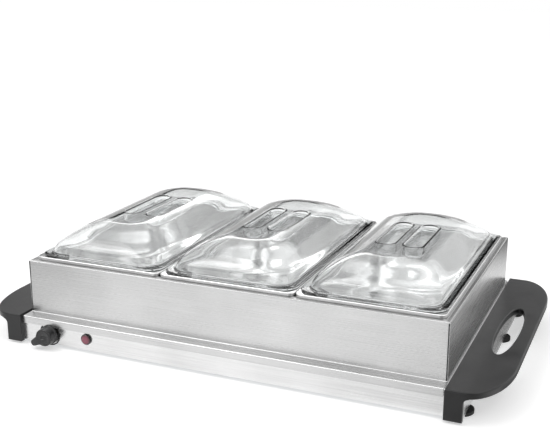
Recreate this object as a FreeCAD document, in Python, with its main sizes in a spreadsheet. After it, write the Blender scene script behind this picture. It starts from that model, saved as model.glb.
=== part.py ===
"""Electric food warmer tray: a warming plate, a pan frame, three food pans and three clear lids.

Millimetres, +Z up. The origin is on the table under the middle of the tray: X runs along its length, from the
knob's end towards the plain end, and the front, with the knob and the lamp, faces -Y. The pieces stand as the
warmer is used: frame on the plate, pans in the frame, lids on the pans.
"""

import FreeCAD, Part
import math
import os
import re

import Sketcher
from FreeCAD import Placement, Rotation, Vector

# Driving sizes: name, value, what it is. Lengths are in mm and angles in degrees.
SIZES = [
    # Warming tray: a folded steel housing with a closed bottom
    ("plate_margin", 17.0, "plate in front of and behind the frame"),
    ("plate_height", 36.0, "top of the warming plate over the table"),
    ("skirt_height", 31.6, "height of the skirts"),
    ("steel_sheet", 0.8, "housing sheet"),
    ("fold_round", 1.6, "outside radius of the housing's folds"),
    ("return_lip", 14.0, "width of the lip folded in under the skirts"),
    ("cover_sheet", 0.6, "bottom cover sheet"),
    ("cover_inset", 3.0, "bottom cover's edge inside the skirts' outer face"),
    ("vent_length", 44.0, "cooling slot length"),
    ("vent_width", 4.0, "cooling slot width"),
    ("vent_pitch", 14.0, "distance between cooling slots"),
    ("vent_row", 95.0, "distance from the middle to each row of slots"),
    # End caps with the carrying handles
    ("cap_cover", 20.5, "width of plate that an end cap covers"),
    ("cap_gap", 2.0, "end cap's bar to the frame"),
    ("cap_rise", 3.0, "end cap above the plate"),
    ("cap_leg", 6.5, "thickness of an end cap's legs, outside the skirts"),
    ("leg_gap", 3.0, "legs over the table"),
    ("flange_reach", 42.5, "handle flange beyond the end wall"),
    ("flange_thick", 8.0, "handle flange thickness"),
    ("corner_run", 86.5, "length of the flange's rounded corner along Y"),
    ("hole_length", 156.0, "hand hole along Y"),
    ("hole_width", 26.0, "hand hole along X"),
    ("hole_offset", 13.5, "hand hole's middle beyond the end wall"),
    ("edge_round", 1.5, "rounded edges of the end caps"),
    ("root_round", 6.0, "round between leg and handle flange"),
    ("boss_spread", 212.0, "distance between the two bosses under a flange"),
    ("boss_size", 10.0, "screw boss width and reach"),
    ("boss_drop", 7.0, "screw boss height under the flange"),
    ("leg_screw_height", 14.0, "screw into an end cap's leg, over the table"),
    # Feet and fasteners
    ("foot_diameter", 30.0, "rubber foot"),
    ("foot_inset", 9.0, "foot's middle inside the end wall"),
    ("foot_edge", 28.5, "outer foot's middle inside the skirt"),
    ("foot_step", 96.0, "distance between two neighbouring feet"),
    ("foot_recess", 2.2, "depth of the screw recess in a foot"),
    ("screw_diameter", 3.5, "thread of the housing screws"),
    ("screw_head", 7.0, "head of the housing screws"),
    ("head_height", 1.6, "height of the screw heads"),
    ("screw_length", 6.5, "length of the cover and foot screws"),
    ("cap_screw_length", 5.5, "length of the end cap screws"),
    ("hole_gap", 0.1, "radial clearance of screw and stud holes"),
    ("cover_screw_inset", 93.5, "outer cover screws inside the end walls"),
    # Heating element under the plate
    ("spreader_end_margin", 43.5, "heat spreader inside the end walls"),
    ("spreader_side_margin", 41.5, "heat spreader inside the skirts"),
    ("spreader_sheet", 1.0, "heat spreader thickness"),
    ("heater_diameter", 3.0, "heating cord"),
    ("heater_margin", 22.0, "heating cord's outer runs inside the spreader's edge"),
    ("heater_end", 2.0, "heating cord's ends beyond the spreader"),
    ("heater_gap", 0.05, "heating cord to the sheets over and under it"),
    ("mat_thick", 6.0, "insulation mat"),
    ("clamp_sheet", 0.6, "element clamp plate"),
    ("stud_diameter", 4.0, "weld studs"),
    ("stud_length", 15.0, "weld studs"),
    ("stud_step", 180.0, "weld studs along X"),
    ("nut_across", 7.0, "stud nut across its flats"),
    ("nut_height", 3.2, "stud nut"),
    ("splice_diameter", 4.6, "splice at the ends of the heating cord"),
    ("splice_length", 18.0, "splice at the ends of the heating cord"),
    # Thermostat and knob
    ("knob_inset", 60.6, "knob axis inside the left end wall"),
    ("knob_height", 17.5, "knob axis over the table"),
    ("thermostat_width", 28.0, "thermostat along X"),
    ("thermostat_tall", 22.0, "thermostat along Z"),
    ("thermostat_depth", 18.0, "thermostat along Y"),
    ("bush_diameter", 9.0, "threaded bush round the spindle"),
    ("bush_reach", 4.0, "bush in front of the skirt"),
    ("bush_nut", 12.0, "bush nut across its flats"),
    ("bush_nut_height", 2.5, "bush nut"),
    ("spindle_diameter", 6.0, "thermostat spindle"),
    ("spindle_reach", 13.0, "spindle in front of the skirt"),
    ("spindle_flat", 1.5, "depth of the flat on the spindle"),
    ("running_gap", 0.05, "radial clearance of the spindle in its bush"),
    ("strip_sheet", 0.8, "sheet of the small strips and clips"),
    ("strip_width", 14.0, "thermostat's heat strip"),
    ("strip_foot", 10.0, "length of the strip that touches the plate"),
    ("tab_width", 6.3, "blade terminals"),
    ("tab_length", 8.0, "blade terminals"),
    ("tab_pitch", 14.0, "distance between the blade terminals"),
    ("knob_diameter", 25.0, "knob body"),
    ("knob_depth", 14.0, "knob body along its axis"),
    ("knob_gap", 2.0, "knob to the skirt, past the frame's lip"),
    ("knob_hollow", 18.0, "diameter of the hollow back of the knob"),
    ("knob_hollow_depth", 4.0, "depth of the hollow back"),
    ("knob_round", 2.0, "rounded front edge of the knob"),
    ("beak_reach", 22.0, "tip of the pointer beak from the knob's axis"),
    ("beak_width", 10.0, "pointer beak"),
    ("beak_depth", 10.0, "pointer beak along the knob's axis"),
    ("beak_angle", 210.0, "where the beak points with the knob at off, from +X"),
    ("dial_diameter", 30.0, "dial ring round the knob"),
    ("dial_width", 1.6, "dial ring's band"),
    ("dial_thick", 0.4, "dial ring in front of the skirt"),
    # Indicator lamp
    ("lamp_inset", 114.8, "lamp inside the left end wall"),
    ("lamp_height", 19.2, "lamp over the table"),
    ("lamp_ring_diameter", 14.0, "black ring round the lens"),
    ("lamp_ring_thick", 2.0, "black ring in front of the skirt"),
    ("lens_diameter", 10.8, "lamp lens"),
    ("lens_bulge", 2.2, "lens beyond its ring"),
    ("lamp_barrel", 9.0, "lamp barrel through the skirt"),
    ("lamp_length", 22.0, "lamp barrel behind the skirt"),
    ("lamp_tip", 0.4, "lamp barrel in front of the skirt"),
    # Thermal fuse, terminals and cord entry
    ("fuse_diameter", 4.0, "thermal fuse"),
    ("fuse_length", 12.0, "thermal fuse"),
    ("fuse_inset", 173.5, "thermal fuse inside the left end wall"),
    ("fuse_back", 22.0, "thermal fuse behind the front skirt"),
    ("terminal_length", 30.0, "terminal block along X"),
    ("terminal_depth", 16.0, "terminal block along Y"),
    ("terminal_tall", 14.0, "terminal block"),
    ("terminal_inset", 78.5, "terminal block's middle inside the left end wall"),
    ("terminal_back", 45.0, "terminal block's middle in front of the rear skirt"),
    ("terminal_pitch", 10.0, "distance between the terminal screws"),
    ("terminal_screw", 5.0, "terminal screw head"),
    ("earth_inset", 128.5, "earth stud inside the left end wall"),
    ("wire_diameter", 2.2, "internal wires"),
    ("wire_bend", 5.0, "bend radius of the internal wires"),
    ("wire_tail", 9.0, "wires beyond the splices"),
    ("wire_height", 9.0, "internal wires over the table where they lie"),
    ("wire_lift", 4.0, "rise of an internal wire where it passes over another"),
    ("gland_inset", 78.5, "cord gland inside the left end wall, in the rear skirt"),
    ("gland_height", 17.0, "cord gland over the table"),
    ("gland_collar", 17.0, "cord gland's collar"),
    ("gland_barrel", 12.0, "cord gland through the skirt"),
    ("gland_bore", 7.0, "cord hole"),
    ("collar_thick", 3.0, "thickness of the collar"),
    ("gland_nose", 10.0, "tip of the gland's nose"),
    ("gland_reach", 12.0, "gland beyond the skirt"),
    ("gland_inside", 9.0, "gland inside the skirt"),
    # Pan frame
    ("frame_end_margin", 6.4, "frame's end walls beyond the row of pans"),
    ("frame_side_margin", 7.0, "frame's front and rear walls beyond the pans"),
    ("frame_height", 69.0, "frame walls"),
    ("frame_sheet", 0.8, "frame sheet"),
    ("frame_flange", 10.5, "top flange that carries the pans"),
    ("hook_gap", 0.8, "frame's hooked lips to the skirts"),
    ("lip_drop", 9.6, "lip that hooks over the tray's front and rear edges"),
    ("corner_reveal", 1.9, "front panel's end inside the side panel's outer face"),
    ("seat_gap", 0.3, "gap between pieces that rest on each other"),
    ("bracket_leg", 13.0, "corner bracket"),
    ("bracket_sheet", 1.2, "corner bracket"),
    ("bracket_gap", 3.0, "corner bracket to the frame's top and bottom"),
    ("rivet_head", 5.0, "bracket rivet"),
    ("rivet_height", 1.5, "bracket rivet head"),
    ("rivet_shank", 3.0, "bracket rivet"),
    ("rivet_inset", 7.5, "bracket rivets from the frame's top and bottom"),
    # Food pans
    ("pan_width", 176.0, "pan rim along X"),
    ("pan_length", 325.0, "pan rim along Y"),
    ("pan_depth", 65.0, "pan from rim to base"),
    ("pan_sheet", 0.8, "pan sheet"),
    ("pan_gap", 0.6, "gap between neighbouring rims"),
    ("rim_width", 11.0, "flat rim round the pan's well"),
    ("rim_drop", 4.0, "turned-down edge of the rim"),
    ("rim_corner", 8.0, "rim's corner radius"),
    ("rim_round", 0.7, "rounded edges of the rim"),
    ("pan_corner", 42.0, "corner radius of the well"),
    ("base_round", 21.0, "round between the well's walls and base"),
    ("pan_draft", 2.0, "slope of the well's walls"),
    # Lids
    ("lid_margin", 2.0, "lid flange inside the pan's rim"),
    ("lid_corner", 20.0, "lid flange's corner radius"),
    ("lid_sheet", 2.0, "lid wall"),
    ("locate_drop", 3.0, "locating rim that drops inside the pan"),
    ("locate_gap", 1.2, "locating rim to the pan's wall"),
    ("dome_height", 36.0, "crown over the flange's underside"),
    ("foot_inset_dome", 8.0, "dome's foot inside the flange's edge"),
    ("foot_corner", 18.0, "corner radius at the dome's foot"),
    ("wall_level", 11.0, "height where the steep wall ends"),
    ("wall_inset", 11.0, "steep wall's top inside the flange's edge"),
    ("wall_corner", 24.0, "corner radius there"),
    ("haunch_level", 24.0, "height of the haunch"),
    ("haunch_inset", 25.0, "haunch inside the flange's edge"),
    ("haunch_corner", 38.0, "corner radius there"),
    ("shoulder_level", 32.5, "height of the shoulder"),
    ("shoulder_width", 86.0, "shoulder across X"),
    ("shoulder_corner", 36.0, "corner radius there"),
    ("crown_width", 44.0, "flat crown across X"),
    ("crown_corner", 16.0, "corner radius there"),
    ("grip_length", 100.0, "finger well along Y"),
    ("grip_width", 22.0, "finger well along X"),
    ("grip_depth", 16.0, "finger well under the crown"),
    ("grip_rib", 12.0, "grip ridge between the two wells"),
]
VALUES = {name: value for name, value, _ in SIZES}
ALIAS = re.compile(r"\b(" + "|".join(VALUES) + r")\b")

VENTS_IN_A_ROW = 9
HEATER_RUNS = 8
COVER_SCREWS_IN_A_ROW = 3
TERMINALS = 3
PANS = 3
LEFT, RIGHT = -1, 1
FRONT, REAR = -1, 1

doc = FreeCAD.newDocument("food_warmer")
sheet = doc.addObject("Spreadsheet::Sheet", "Sizes")
for row, (name, value, meaning) in enumerate(SIZES, 1):
    sheet.set(f"A{row}", name)
    sheet.set(f"B{row}", str(value))
    sheet.set(f"C{row}", meaning)
    sheet.setAlias(f"B{row}", name)
doc.recompute()

subparts = []


# Small words of this script ----------------------------------------------------------------------------


def linked(text):
    """The same sum with each size's name pointing at its cell of the sheet."""
    return ALIAS.sub(r"Sizes.\1", str(text))


def number(text):
    """What the sum comes to, in millimetres or degrees."""
    return FreeCAD.Units.Quantity(ALIAS.sub(lambda word: f"({VALUES[word.group()]})", str(text))).Value


def bind(thing, sums):
    """Ties properties of an object to sums of the sheet's sizes."""
    for path, text in sums.items():
        thing.setExpression(path, linked(text))
    return thing


def span(side, near, far):
    """Limits of a stretch from near to far of the middle, on the side given as -1 or 1."""
    return (near, far) if side > 0 else (f"-({far})", f"-({near})")


def about(middle, width):
    """Limits of a stretch of a width about its middle."""
    return (f"({middle}) - ({width}) / 2", f"({middle}) + ({width}) / 2")


def block(name, x, y, z, kind="Part::Box", maker=None):
    """A box between its low and high limit along each axis."""
    box = maker.newObject(kind, name) if maker else doc.addObject(kind, name)
    sums = {}
    for side, axis, (low, high) in zip(("Length", "Width", "Height"), "xyz", (x, y, z)):
        sums[side] = f"({high}) - ({low})"
        sums[f"Placement.Base.{axis}"] = low
    return bind(box, sums)


ALONG = {
    "x": (Rotation(Vector(0, 1, 0), 90), "xyz"),
    "y": (Rotation(Vector(1, 0, 0), -90), "yxz"),
    "z": (Rotation(), "zxy"),
}


def rod(name, diameter, axis, reach, middle, kind="Part::Cylinder", maker=None):
    """A round bar along an axis between two limits; middle gives its other two coordinates in order."""
    bar = maker.newObject(kind, name) if maker else doc.addObject(kind, name)
    turn, order = ALONG[axis]
    bar.Placement = Placement(Vector(), turn)
    low, high = reach
    places = dict(zip(order, (low, *middle)))
    sums = {"Radius": f"({diameter}) / 2", "Height": f"({high}) - ({low})"}
    sums.update({f"Placement.Base.{letter}": places[letter] for letter in "xyz"})
    return bind(bar, sums)


def hexagon(name, across, axis, reach, middle):
    """A hexagonal nut blank along an axis, by its width across the flats."""
    nut = doc.addObject("Part::Prism", name)
    turn, order = ALONG[axis]
    nut.Placement = Placement(Vector(), turn)
    low, high = reach
    places = dict(zip(order, (low, *middle)))
    sums = {"Circumradius": f"({across}) / sqrt(3)", "Height": f"({high}) - ({low})"}
    sums.update({f"Placement.Base.{letter}": places[letter] for letter in "xyz"})
    return bind(nut, sums)


def fuse(name, parts):
    joined = doc.addObject("Part::MultiFuse", name)
    joined.Shapes = list(parts)
    joined.Refine = True
    return joined


def cut(name, base, tools):
    rest = doc.addObject("Part::Cut", name)
    rest.Base = base
    rest.Tool = tools[0] if len(tools) == 1 else fuse(name + "_cuts", tools)
    return rest


def common(name, first, second):
    shared = doc.addObject("Part::Common", name)
    shared.Base = first
    shared.Tool = second
    return shared


def group(name, parts):
    """Separate solids kept together as one node."""
    together = doc.addObject("Part::Compound", name)
    together.Links = list(parts)
    return together


def again(name, pattern, x, y, z, turn=None):
    """The same piece once more, moved by three sums and turned about its own origin."""
    twin = doc.addObject("Part::Compound", name)
    twin.Links = [pattern]
    twin.Placement = Placement(Vector(), turn or Rotation())
    return bind(twin, {"Placement.Base.x": x, "Placement.Base.y": y, "Placement.Base.z": z})


def level(edge, axis, text):
    """True for an edge that lies in the plane across an axis at a sum of sizes."""
    place = number(text)
    low, high = getattr(edge.BoundBox, f"{axis}Min"), getattr(edge.BoundBox, f"{axis}Max")
    return abs(low - place) < 0.01 and abs(high - place) < 0.01


def rounded(name, base, radius, chosen):
    """The piece with the chosen edges rounded."""
    doc.recompute()
    soft = doc.addObject("Part::Fillet", name)
    soft.Base = base
    size = number(radius)
    soft.Edges = [(place, size, size) for place, edge in enumerate(base.Shape.Edges, 1) if chosen(edge)]
    return soft


def soften(maker, name, radius, chosen):
    """A fillet feature on the chosen edges of a body's newest shape."""
    doc.recompute()
    base = maker.Tip
    soft = maker.newObject("PartDesign::Fillet", name)
    soft.Base = (base, [f"Edge{place}" for place, edge in enumerate(base.Shape.Edges, 1) if chosen(edge)])
    return bind(soft, {"Radius": radius})


def plane(maker, role="XY_Plane"):
    return next(item for item in maker.Origin.OriginFeatures if item.Role == role)


def rounded_rectangle(name, width, length, radius, height, maker=None):
    """A sketch of a rectangle with round corners, centred on the Z axis at a height."""
    if maker:
        sketch = maker.newObject("Sketcher::SketchObject", name)
        sketch.AttachmentSupport = [(plane(maker), "")]
        sketch.MapMode = "FlatFace"
        bind(sketch, {"AttachmentOffset.Base.z": height})
    else:
        sketch = doc.addObject("Sketcher::SketchObject", name)
        bind(sketch, {"Placement.Base.z": height})
    a, b, r = number(width) / 2, number(length) / 2, number(radius)
    corners = [(a - r, r - b, 270), (a - r, b - r, 0), (r - a, b - r, 90), (r - a, r - b, 180)]
    lines = [
        ((r - a, -b), (a - r, -b)),
        ((a, r - b), (a, b - r)),
        ((a - r, b), (r - a, b)),
        ((-a, b - r), (-a, r - b)),
    ]
    for start, end in lines:
        sketch.addGeometry(Part.LineSegment(Vector(*start, 0), Vector(*end, 0)), False)
    for x, y, start in corners:
        circle = Part.Circle(Vector(x, y, 0), Vector(0, 0, 1), r)
        sketch.addGeometry(Part.ArcOfCircle(circle, math.radians(start), math.radians(start + 90)), False)
    arcs = range(4, 8)
    for line, arc in enumerate(arcs):
        sketch.addConstraint(Sketcher.Constraint("Tangent", line, 2, arc, 1))
        sketch.addConstraint(Sketcher.Constraint("Tangent", arc, 2, (line + 1) % 4, 1))
    for line, way in enumerate(("Horizontal", "Vertical", "Horizontal", "Vertical")):
        sketch.addConstraint(Sketcher.Constraint(way, line))
    for arc in arcs[1:]:
        sketch.addConstraint(Sketcher.Constraint("Equal", arcs[0], arc))
    sketch.addConstraint(Sketcher.Constraint("Symmetric", arcs[0], 3, arcs[2], 3, -1, 1))
    for label, kind, ends, size, text in (
        ("Wide", "DistanceX", (3, 1, 1, 1), 2 * a, width),
        ("Long", "DistanceY", (0, 1, 2, 1), 2 * b, length),
        ("Corner", "Radius", (arcs[0],), r, radius),
    ):
        place = sketch.addConstraint(Sketcher.Constraint(kind, *ends, size))
        sketch.renameConstraint(place, label)
        bind(sketch, {f"Constraints.{label}": text})
    return sketch


def pad(maker, name, sketch, length, down=False, draft="0"):
    """Material from a sketch, upwards or downwards; a positive draft narrows it on its way."""
    grown = maker.newObject("PartDesign::Pad", name)
    grown.Profile = sketch
    grown.Reversed = down
    return bind(grown, {"Length": length, "TaperAngle": f"-({draft})"})


def pocket(maker, name, sketch, depth, up=False, draft="0"):
    """A hollow from a sketch, downwards or upwards; a positive draft narrows it on its way."""
    hollow = maker.newObject("PartDesign::Pocket", name)
    hollow.Profile = sketch
    hollow.Reversed = up
    return bind(hollow, {"Length": depth, "TaperAngle": f"-({draft})"})


def bent_rod(corners, bend, diameter):
    """The shape of a round rod along straight runs that tangent arcs of one bend radius join."""
    points = [Vector(*corner) for corner in corners]
    edges = []
    start = points[0]
    for before, corner, after in zip(points, points[1:], points[2:]):
        way_in = (corner - before).normalize()
        way_out = (after - corner).normalize()
        half_turn = way_in.getAngle(way_out) / 2
        inset = bend * math.tan(half_turn)
        arc_start, arc_end = corner - way_in * inset, corner + way_out * inset
        inward = (way_out - way_in).normalize()
        middle = corner + inward * (bend / math.cos(half_turn) - bend)
        if (arc_start - start).Length > 1e-6:
            edges.append(Part.LineSegment(start, arc_start).toShape())
        edges.append(Part.Arc(arc_start, middle, arc_end).toShape())
        start = arc_end
    edges.append(Part.LineSegment(start, points[-1]).toShape())
    path = Part.Wire(edges)
    ring = Part.Wire(Part.makeCircle(diameter / 2, points[0], points[1] - points[0]))
    return path.makePipeShell([ring], True, False)


def at(*sums):
    """A point from three sums of sizes."""
    return tuple(number(text) for text in sums)


def shaped(name, shape):
    """A piece whose shape is worked out above from the sheet's sizes."""
    piece = doc.addObject("Part::Feature", name)
    piece.Shape = shape
    return piece


def subpart(name, piece):
    """Names a finished piece; its label is its file's name."""
    piece.Label = name
    subparts.append(piece)
    return piece


# Places that several pieces share ----------------------------------------------------------------------

FRAME_END = f"(({PANS} * pan_width + {PANS - 1} * pan_gap) / 2 + frame_end_margin)"
FRAME_SIDE = "(pan_length / 2 + frame_side_margin)"
END = f"({FRAME_END} + cap_gap + cap_cover)"
SKIRT = f"({FRAME_SIDE} + plate_margin)"
UNDER_PLATE = "(plate_height - steel_sheet)"
HOUSING_FOOT = "(plate_height - skirt_height)"
COVER_FOOT = f"({HOUSING_FOOT} - cover_sheet)"
LIP_TOP = f"({HOUSING_FOOT} + steel_sheet)"
LIP_MIDDLE_Y = f"({SKIRT} - return_lip / 2)"
LIP_MIDDLE_X = f"({END} - return_lip / 2)"
CAP_TOP = "(plate_height + cap_rise)"
CAP_SIDE = f"({SKIRT} + cap_leg)"
FLANGE_UNDER = f"({CAP_TOP} - flange_thick)"
FLANGE_EDGE = f"({END} + flange_reach)"
BOSS_FOOT = f"({FLANGE_UNDER} - boss_drop)"
BOSS_SCREW = f"({FLANGE_UNDER} - boss_drop / 2)"
LEG_SCREW_X = f"({END} - cap_cover / 2)"
FOOT_X = f"({END} - foot_inset)"
SCREW_HOLE = "(screw_diameter + 2 * hole_gap)"
STUD_HOLE = "(stud_diameter + 2 * hole_gap)"

SPREADER_X = f"({END} - spreader_end_margin)"
SPREADER_Y = f"({SKIRT} - spreader_side_margin)"
SPREADER_FOOT = f"({UNDER_PLATE} - spreader_sheet)"
HEATER_MIDDLE = f"({SPREADER_FOOT} - heater_gap - heater_diameter / 2)"
MAT_TOP = f"({SPREADER_FOOT} - 2 * heater_gap - heater_diameter)"
MAT_FOOT = f"({MAT_TOP} - mat_thick)"
CLAMP_FOOT = f"({MAT_FOOT} - clamp_sheet)"
HEATER_PITCH = f"(2 * ({SPREADER_Y} - heater_margin) / {HEATER_RUNS - 1})"
STUD_Y = f"(2 * {HEATER_PITCH})"

KNOB_X = f"(knob_inset - {END})"
LAMP_X = f"(lamp_inset - {END})"
FUSE_X = f"(fuse_inset - {END})"
TERMINAL_X = f"(terminal_inset - {END})"
EARTH_X = f"(earth_inset - {END})"
GLAND_X = f"(gland_inset - {END})"

FRAME_FOOT = "(plate_height + seat_gap)"
FRAME_TOP = f"({FRAME_FOOT} + frame_height)"
PAN_RIM = f"({FRAME_TOP} + seat_gap + rim_drop)"
LID_FOOT = f"({PAN_RIM} + seat_gap)"
PAN_PITCH = "(pan_width + pan_gap)"
WELL_WIDTH = "(pan_width - 2 * rim_width)"
WELL_LENGTH = "(pan_length - 2 * rim_width)"
LID_WIDTH = "(pan_width - 2 * lid_margin)"
LID_LENGTH = "(pan_length - 2 * lid_margin)"

cover_screws = [
    (f"({place - 1}) * ({END} - cover_screw_inset)", side)
    for place in range(COVER_SCREWS_IN_A_ROW) for side in (FRONT, REAR)
]
cover_screws = [(x, f"({side}) * {LIP_MIDDLE_Y}") for x, side in cover_screws]
cover_screws += [(f"({side}) * {LIP_MIDDLE_X}", "0") for side in (LEFT, RIGHT)]
feet = [
    (f"({side}) * {FOOT_X}", f"({end}) * {row}")
    for side in (LEFT, RIGHT)
    for end in (FRONT, REAR)
    for row in (f"({SKIRT} - foot_edge)", f"({SKIRT} - foot_edge - foot_step)")
]
studs = [
    (f"({column}) * stud_step", f"({row}) * {STUD_Y}")
    for column in (-1, 0, 1) for row in (FRONT, REAR)
]


# Warming tray ------------------------------------------------------------------------------------------


def housing():
    """The folded steel housing: warming plate, four skirts and the lips under them, with its holes."""
    body = doc.addObject("PartDesign::Body", "housing_body")
    block(
        "blank",
        (f"-{END}", END),
        (f"-{SKIRT}", SKIRT),
        (HOUSING_FOOT, "plate_height"),
        "PartDesign::AdditiveBox",
        body,
    )
    soften(body, "folds", "fold_round", lambda edge: not level(edge, "Z", HOUSING_FOOT))
    inside = "steel_sheet"
    block(
        "inside",
        (f"{inside} - {END}", f"{END} - {inside}"),
        (f"{inside} - {SKIRT}", f"{SKIRT} - {inside}"),
        (LIP_TOP, UNDER_PLATE),
        "PartDesign::SubtractiveBox",
        body,
    )
    block(
        "mouth",
        (f"return_lip - {END}", f"{END} - return_lip"),
        (f"return_lip - {SKIRT}", f"{SKIRT} - return_lip"),
        (f"{HOUSING_FOOT} - 1", LIP_TOP),
        "PartDesign::SubtractiveBox",
        body,
    )
    hole = {"kind": "PartDesign::SubtractiveCylinder", "maker": body}
    front = (f"-{SKIRT} - 1", f"-{SKIRT} + steel_sheet + 1")
    rear = (f"{SKIRT} - steel_sheet - 1", f"{SKIRT} + 1")
    rod("knob_hole", "bush_diameter + 2 * hole_gap", "y", front, (KNOB_X, "knob_height"), **hole)
    rod("lamp_hole", "lamp_barrel + 2 * hole_gap", "y", front, (LAMP_X, "lamp_height"), **hole)
    rod("cord_hole", "gland_barrel + 2 * hole_gap", "y", rear, (GLAND_X, "gland_height"), **hole)
    lip = (f"{HOUSING_FOOT} - 1", f"{LIP_TOP} + 1")
    for x, y in cover_screws + feet:
        rod("lip_hole", SCREW_HOLE, "z", lip, (x, y), **hole)
    for side in (LEFT, RIGHT):
        leg = f"({side}) * {LEG_SCREW_X}"
        rod("leg_hole", SCREW_HOLE, "y", front, (leg, "leg_screw_height"), **hole)
        rod("leg_hole", SCREW_HOLE, "y", rear, (leg, "leg_screw_height"), **hole)
        wall = span(side, f"{END} - steel_sheet - 1", f"{END} + 1")
        for end in (FRONT, REAR):
            rod("boss_hole", SCREW_HOLE, "x", wall, (f"({end}) * boss_spread / 2", BOSS_SCREW), **hole)
    subpart("housing", body)


def bottom_cover():
    """The flat bottom sheet under the lips, with two rows of cooling slots and its screw holes."""
    edge_x, edge_y = f"({END} - cover_inset)", f"({SKIRT} - cover_inset)"
    blank = block("cover_blank", (f"-{edge_x}", edge_x), (f"-{edge_y}", edge_y), (COVER_FOOT, HOUSING_FOOT))
    through = (f"{COVER_FOOT} - 1", f"{HOUSING_FOOT} + 1")
    holes = [rod("cover_hole", SCREW_HOLE, "z", through, (x, y)) for x, y in cover_screws + feet]
    for row in (FRONT, REAR):
        for slot in range(VENTS_IN_A_ROW):
            x = f"({slot - VENTS_IN_A_ROW // 2}) * vent_pitch"
            holes.append(
                block("slot", about(x, "vent_width"), about(f"({row}) * vent_row", "vent_length"), through),
            )
    subpart("bottom_cover", cut("cover", blank, holes))


def screw(name, axis, head, tip, middle):
    """A pan-head screw from the end of its head to its tip along an axis, which may point either way."""
    forward = number(tip) > number(head)
    neck = f"({head}) + head_height" if forward else f"({head}) - head_height"
    head_reach = (head, neck) if forward else (neck, head)
    shank_reach = (neck, tip) if forward else (tip, neck)
    return fuse(
        name,
        [
            rod("head", "screw_head", axis, head_reach, middle),
            rod("shank", "screw_diameter", axis, shank_reach, middle),
        ],
    )


def housing_screws():
    """Screws up through the bottom cover, and out into the end caps."""
    low = f"{COVER_FOOT} - head_height"
    tip = f"{COVER_FOOT} + screw_length"
    subpart(
        "cover_screws",
        group("cover_screw_set", [screw("cover_screw", "z", low, tip, place) for place in cover_screws]),
    )
    recess = "foot_recess - head_height"
    tip = f"foot_recess + screw_length"
    subpart(
        "foot_screws",
        group("foot_screw_set", [screw("foot_screw", "z", recess, tip, place) for place in feet]),
    )
    caps = []
    for side in (LEFT, RIGHT):
        leg = (f"({side}) * {LEG_SCREW_X}", "leg_screw_height")
        inner_end = f"({END} - steel_sheet)"
        inner_skirt = f"({SKIRT} - steel_sheet)"
        for end in (FRONT, REAR):
            head, tip = f"{inner_skirt} - head_height", f"{inner_skirt} + cap_screw_length"
            caps.append(screw("leg_screw", "y", f"({end}) * ({head})", f"({end}) * ({tip})", leg))
            head, tip = f"{inner_end} - head_height", f"{inner_end} + cap_screw_length"
            boss = (f"({end}) * boss_spread / 2", BOSS_SCREW)
            caps.append(screw("boss_screw", "x", f"({side}) * ({head})", f"({side}) * ({tip})", boss))
    subpart("cap_screws", group("cap_screw_set", caps))


def end_cap(name, side):
    """A black plastic saddle over one end: a bar on the plate, two legs and the handle flange."""
    inner, end_wall = f"({END} - cap_cover)", f"({side}) * {END}"
    straight = f"({CAP_SIDE} - corner_run)"
    thick = (FLANGE_UNDER, CAP_TOP)
    parts = [block("slab_middle", span(side, inner, FLANGE_EDGE), (f"-{straight}", straight), thick)]
    beyond = block("beyond", span(side, END, FLANGE_EDGE), (f"-{CAP_SIDE}", CAP_SIDE), (BOSS_FOOT, CAP_TOP))
    for end in (FRONT, REAR):
        corner_y = f"({end}) * {straight}"
        column = oval("corner", "corner_run", "flange_reach", end_wall, corner_y, thick)
        parts.append(common("flange_corner", column, beyond))
        parts.append(block("slab_side", span(side, inner, END), span(end, straight, CAP_SIDE), thick))
    window_x = f"({side}) * ({END} + hole_offset)"
    through = (f"{FLANGE_UNDER} - 1", f"{CAP_TOP} + 1")
    window = oval("window", "hole_length / 2", "hole_width / 2", window_x, "0", through)
    slab = cut("slab", fuse("slab_blank", parts), [window])

    def outline(edge):
        beyond_wall = side * edge.CenterOfMass.x > number(END)
        return level(edge, "Z", CAP_TOP) or (level(edge, "Z", FLANGE_UNDER) and beyond_wall)

    soft = rounded("soft_slab", slab, "edge_round", outline)
    saddle_x = span(side, f"{inner} - 1", END)
    saddle = block("saddle", saddle_x, (f"-{SKIRT}", SKIRT), (f"{FLANGE_UNDER} - 1", "plate_height"))
    added, bores = [], []
    web_foot = f"({FLANGE_UNDER} - root_round)"
    web_top = f"({FLANGE_UNDER} + edge_round)"
    for end in (FRONT, REAR):
        leg_y = span(end, SKIRT, CAP_SIDE)
        added.append(block("leg", span(side, inner, END), leg_y, ("leg_gap", "plate_height")))
        web = block("web", span(side, END, f"{END} + root_round"), leg_y, (web_foot, web_top))
        hollow_middle = (f"({side}) * ({END} + root_round)", web_foot)
        hollow = rod(
            "web_hollow", "2 * root_round", "y", span(end, f"{SKIRT} - 1", f"{CAP_SIDE} + 1"), hollow_middle
        )
        column = oval(
            "web_outline",
            "corner_run",
            "flange_reach",
            end_wall,
            f"({end}) * {straight}",
            (web_foot, web_top),
        )
        added.append(common("root_web", cut("hollow_web", web, [hollow]), column))
        boss_y = f"({end}) * boss_spread / 2"
        boss_x = span(side, END, f"{END} + boss_size")
        added.append(block("boss", boss_x, about(boss_y, "boss_size"), (BOSS_FOOT, f"{FLANGE_UNDER} + 1")))
        boss_bore = span(side, f"{END} - 1", f"{END} + cap_screw_length")
        bores.append(rod("boss_bore", SCREW_HOLE, "x", boss_bore, (boss_y, BOSS_SCREW)))
        leg_bore = span(end, f"{SKIRT} - 1", f"{SKIRT} + cap_screw_length - steel_sheet + hole_gap")
        bores.append(
            rod("leg_bore", SCREW_HOLE, "y", leg_bore, (f"({side}) * {LEG_SCREW_X}", "leg_screw_height")),
        )
    subpart(
        name, cut("finished_cap", fuse("bossed_cap", [cut("saddled_slab", soft, [saddle]), *added]), bores)
    )


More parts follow.
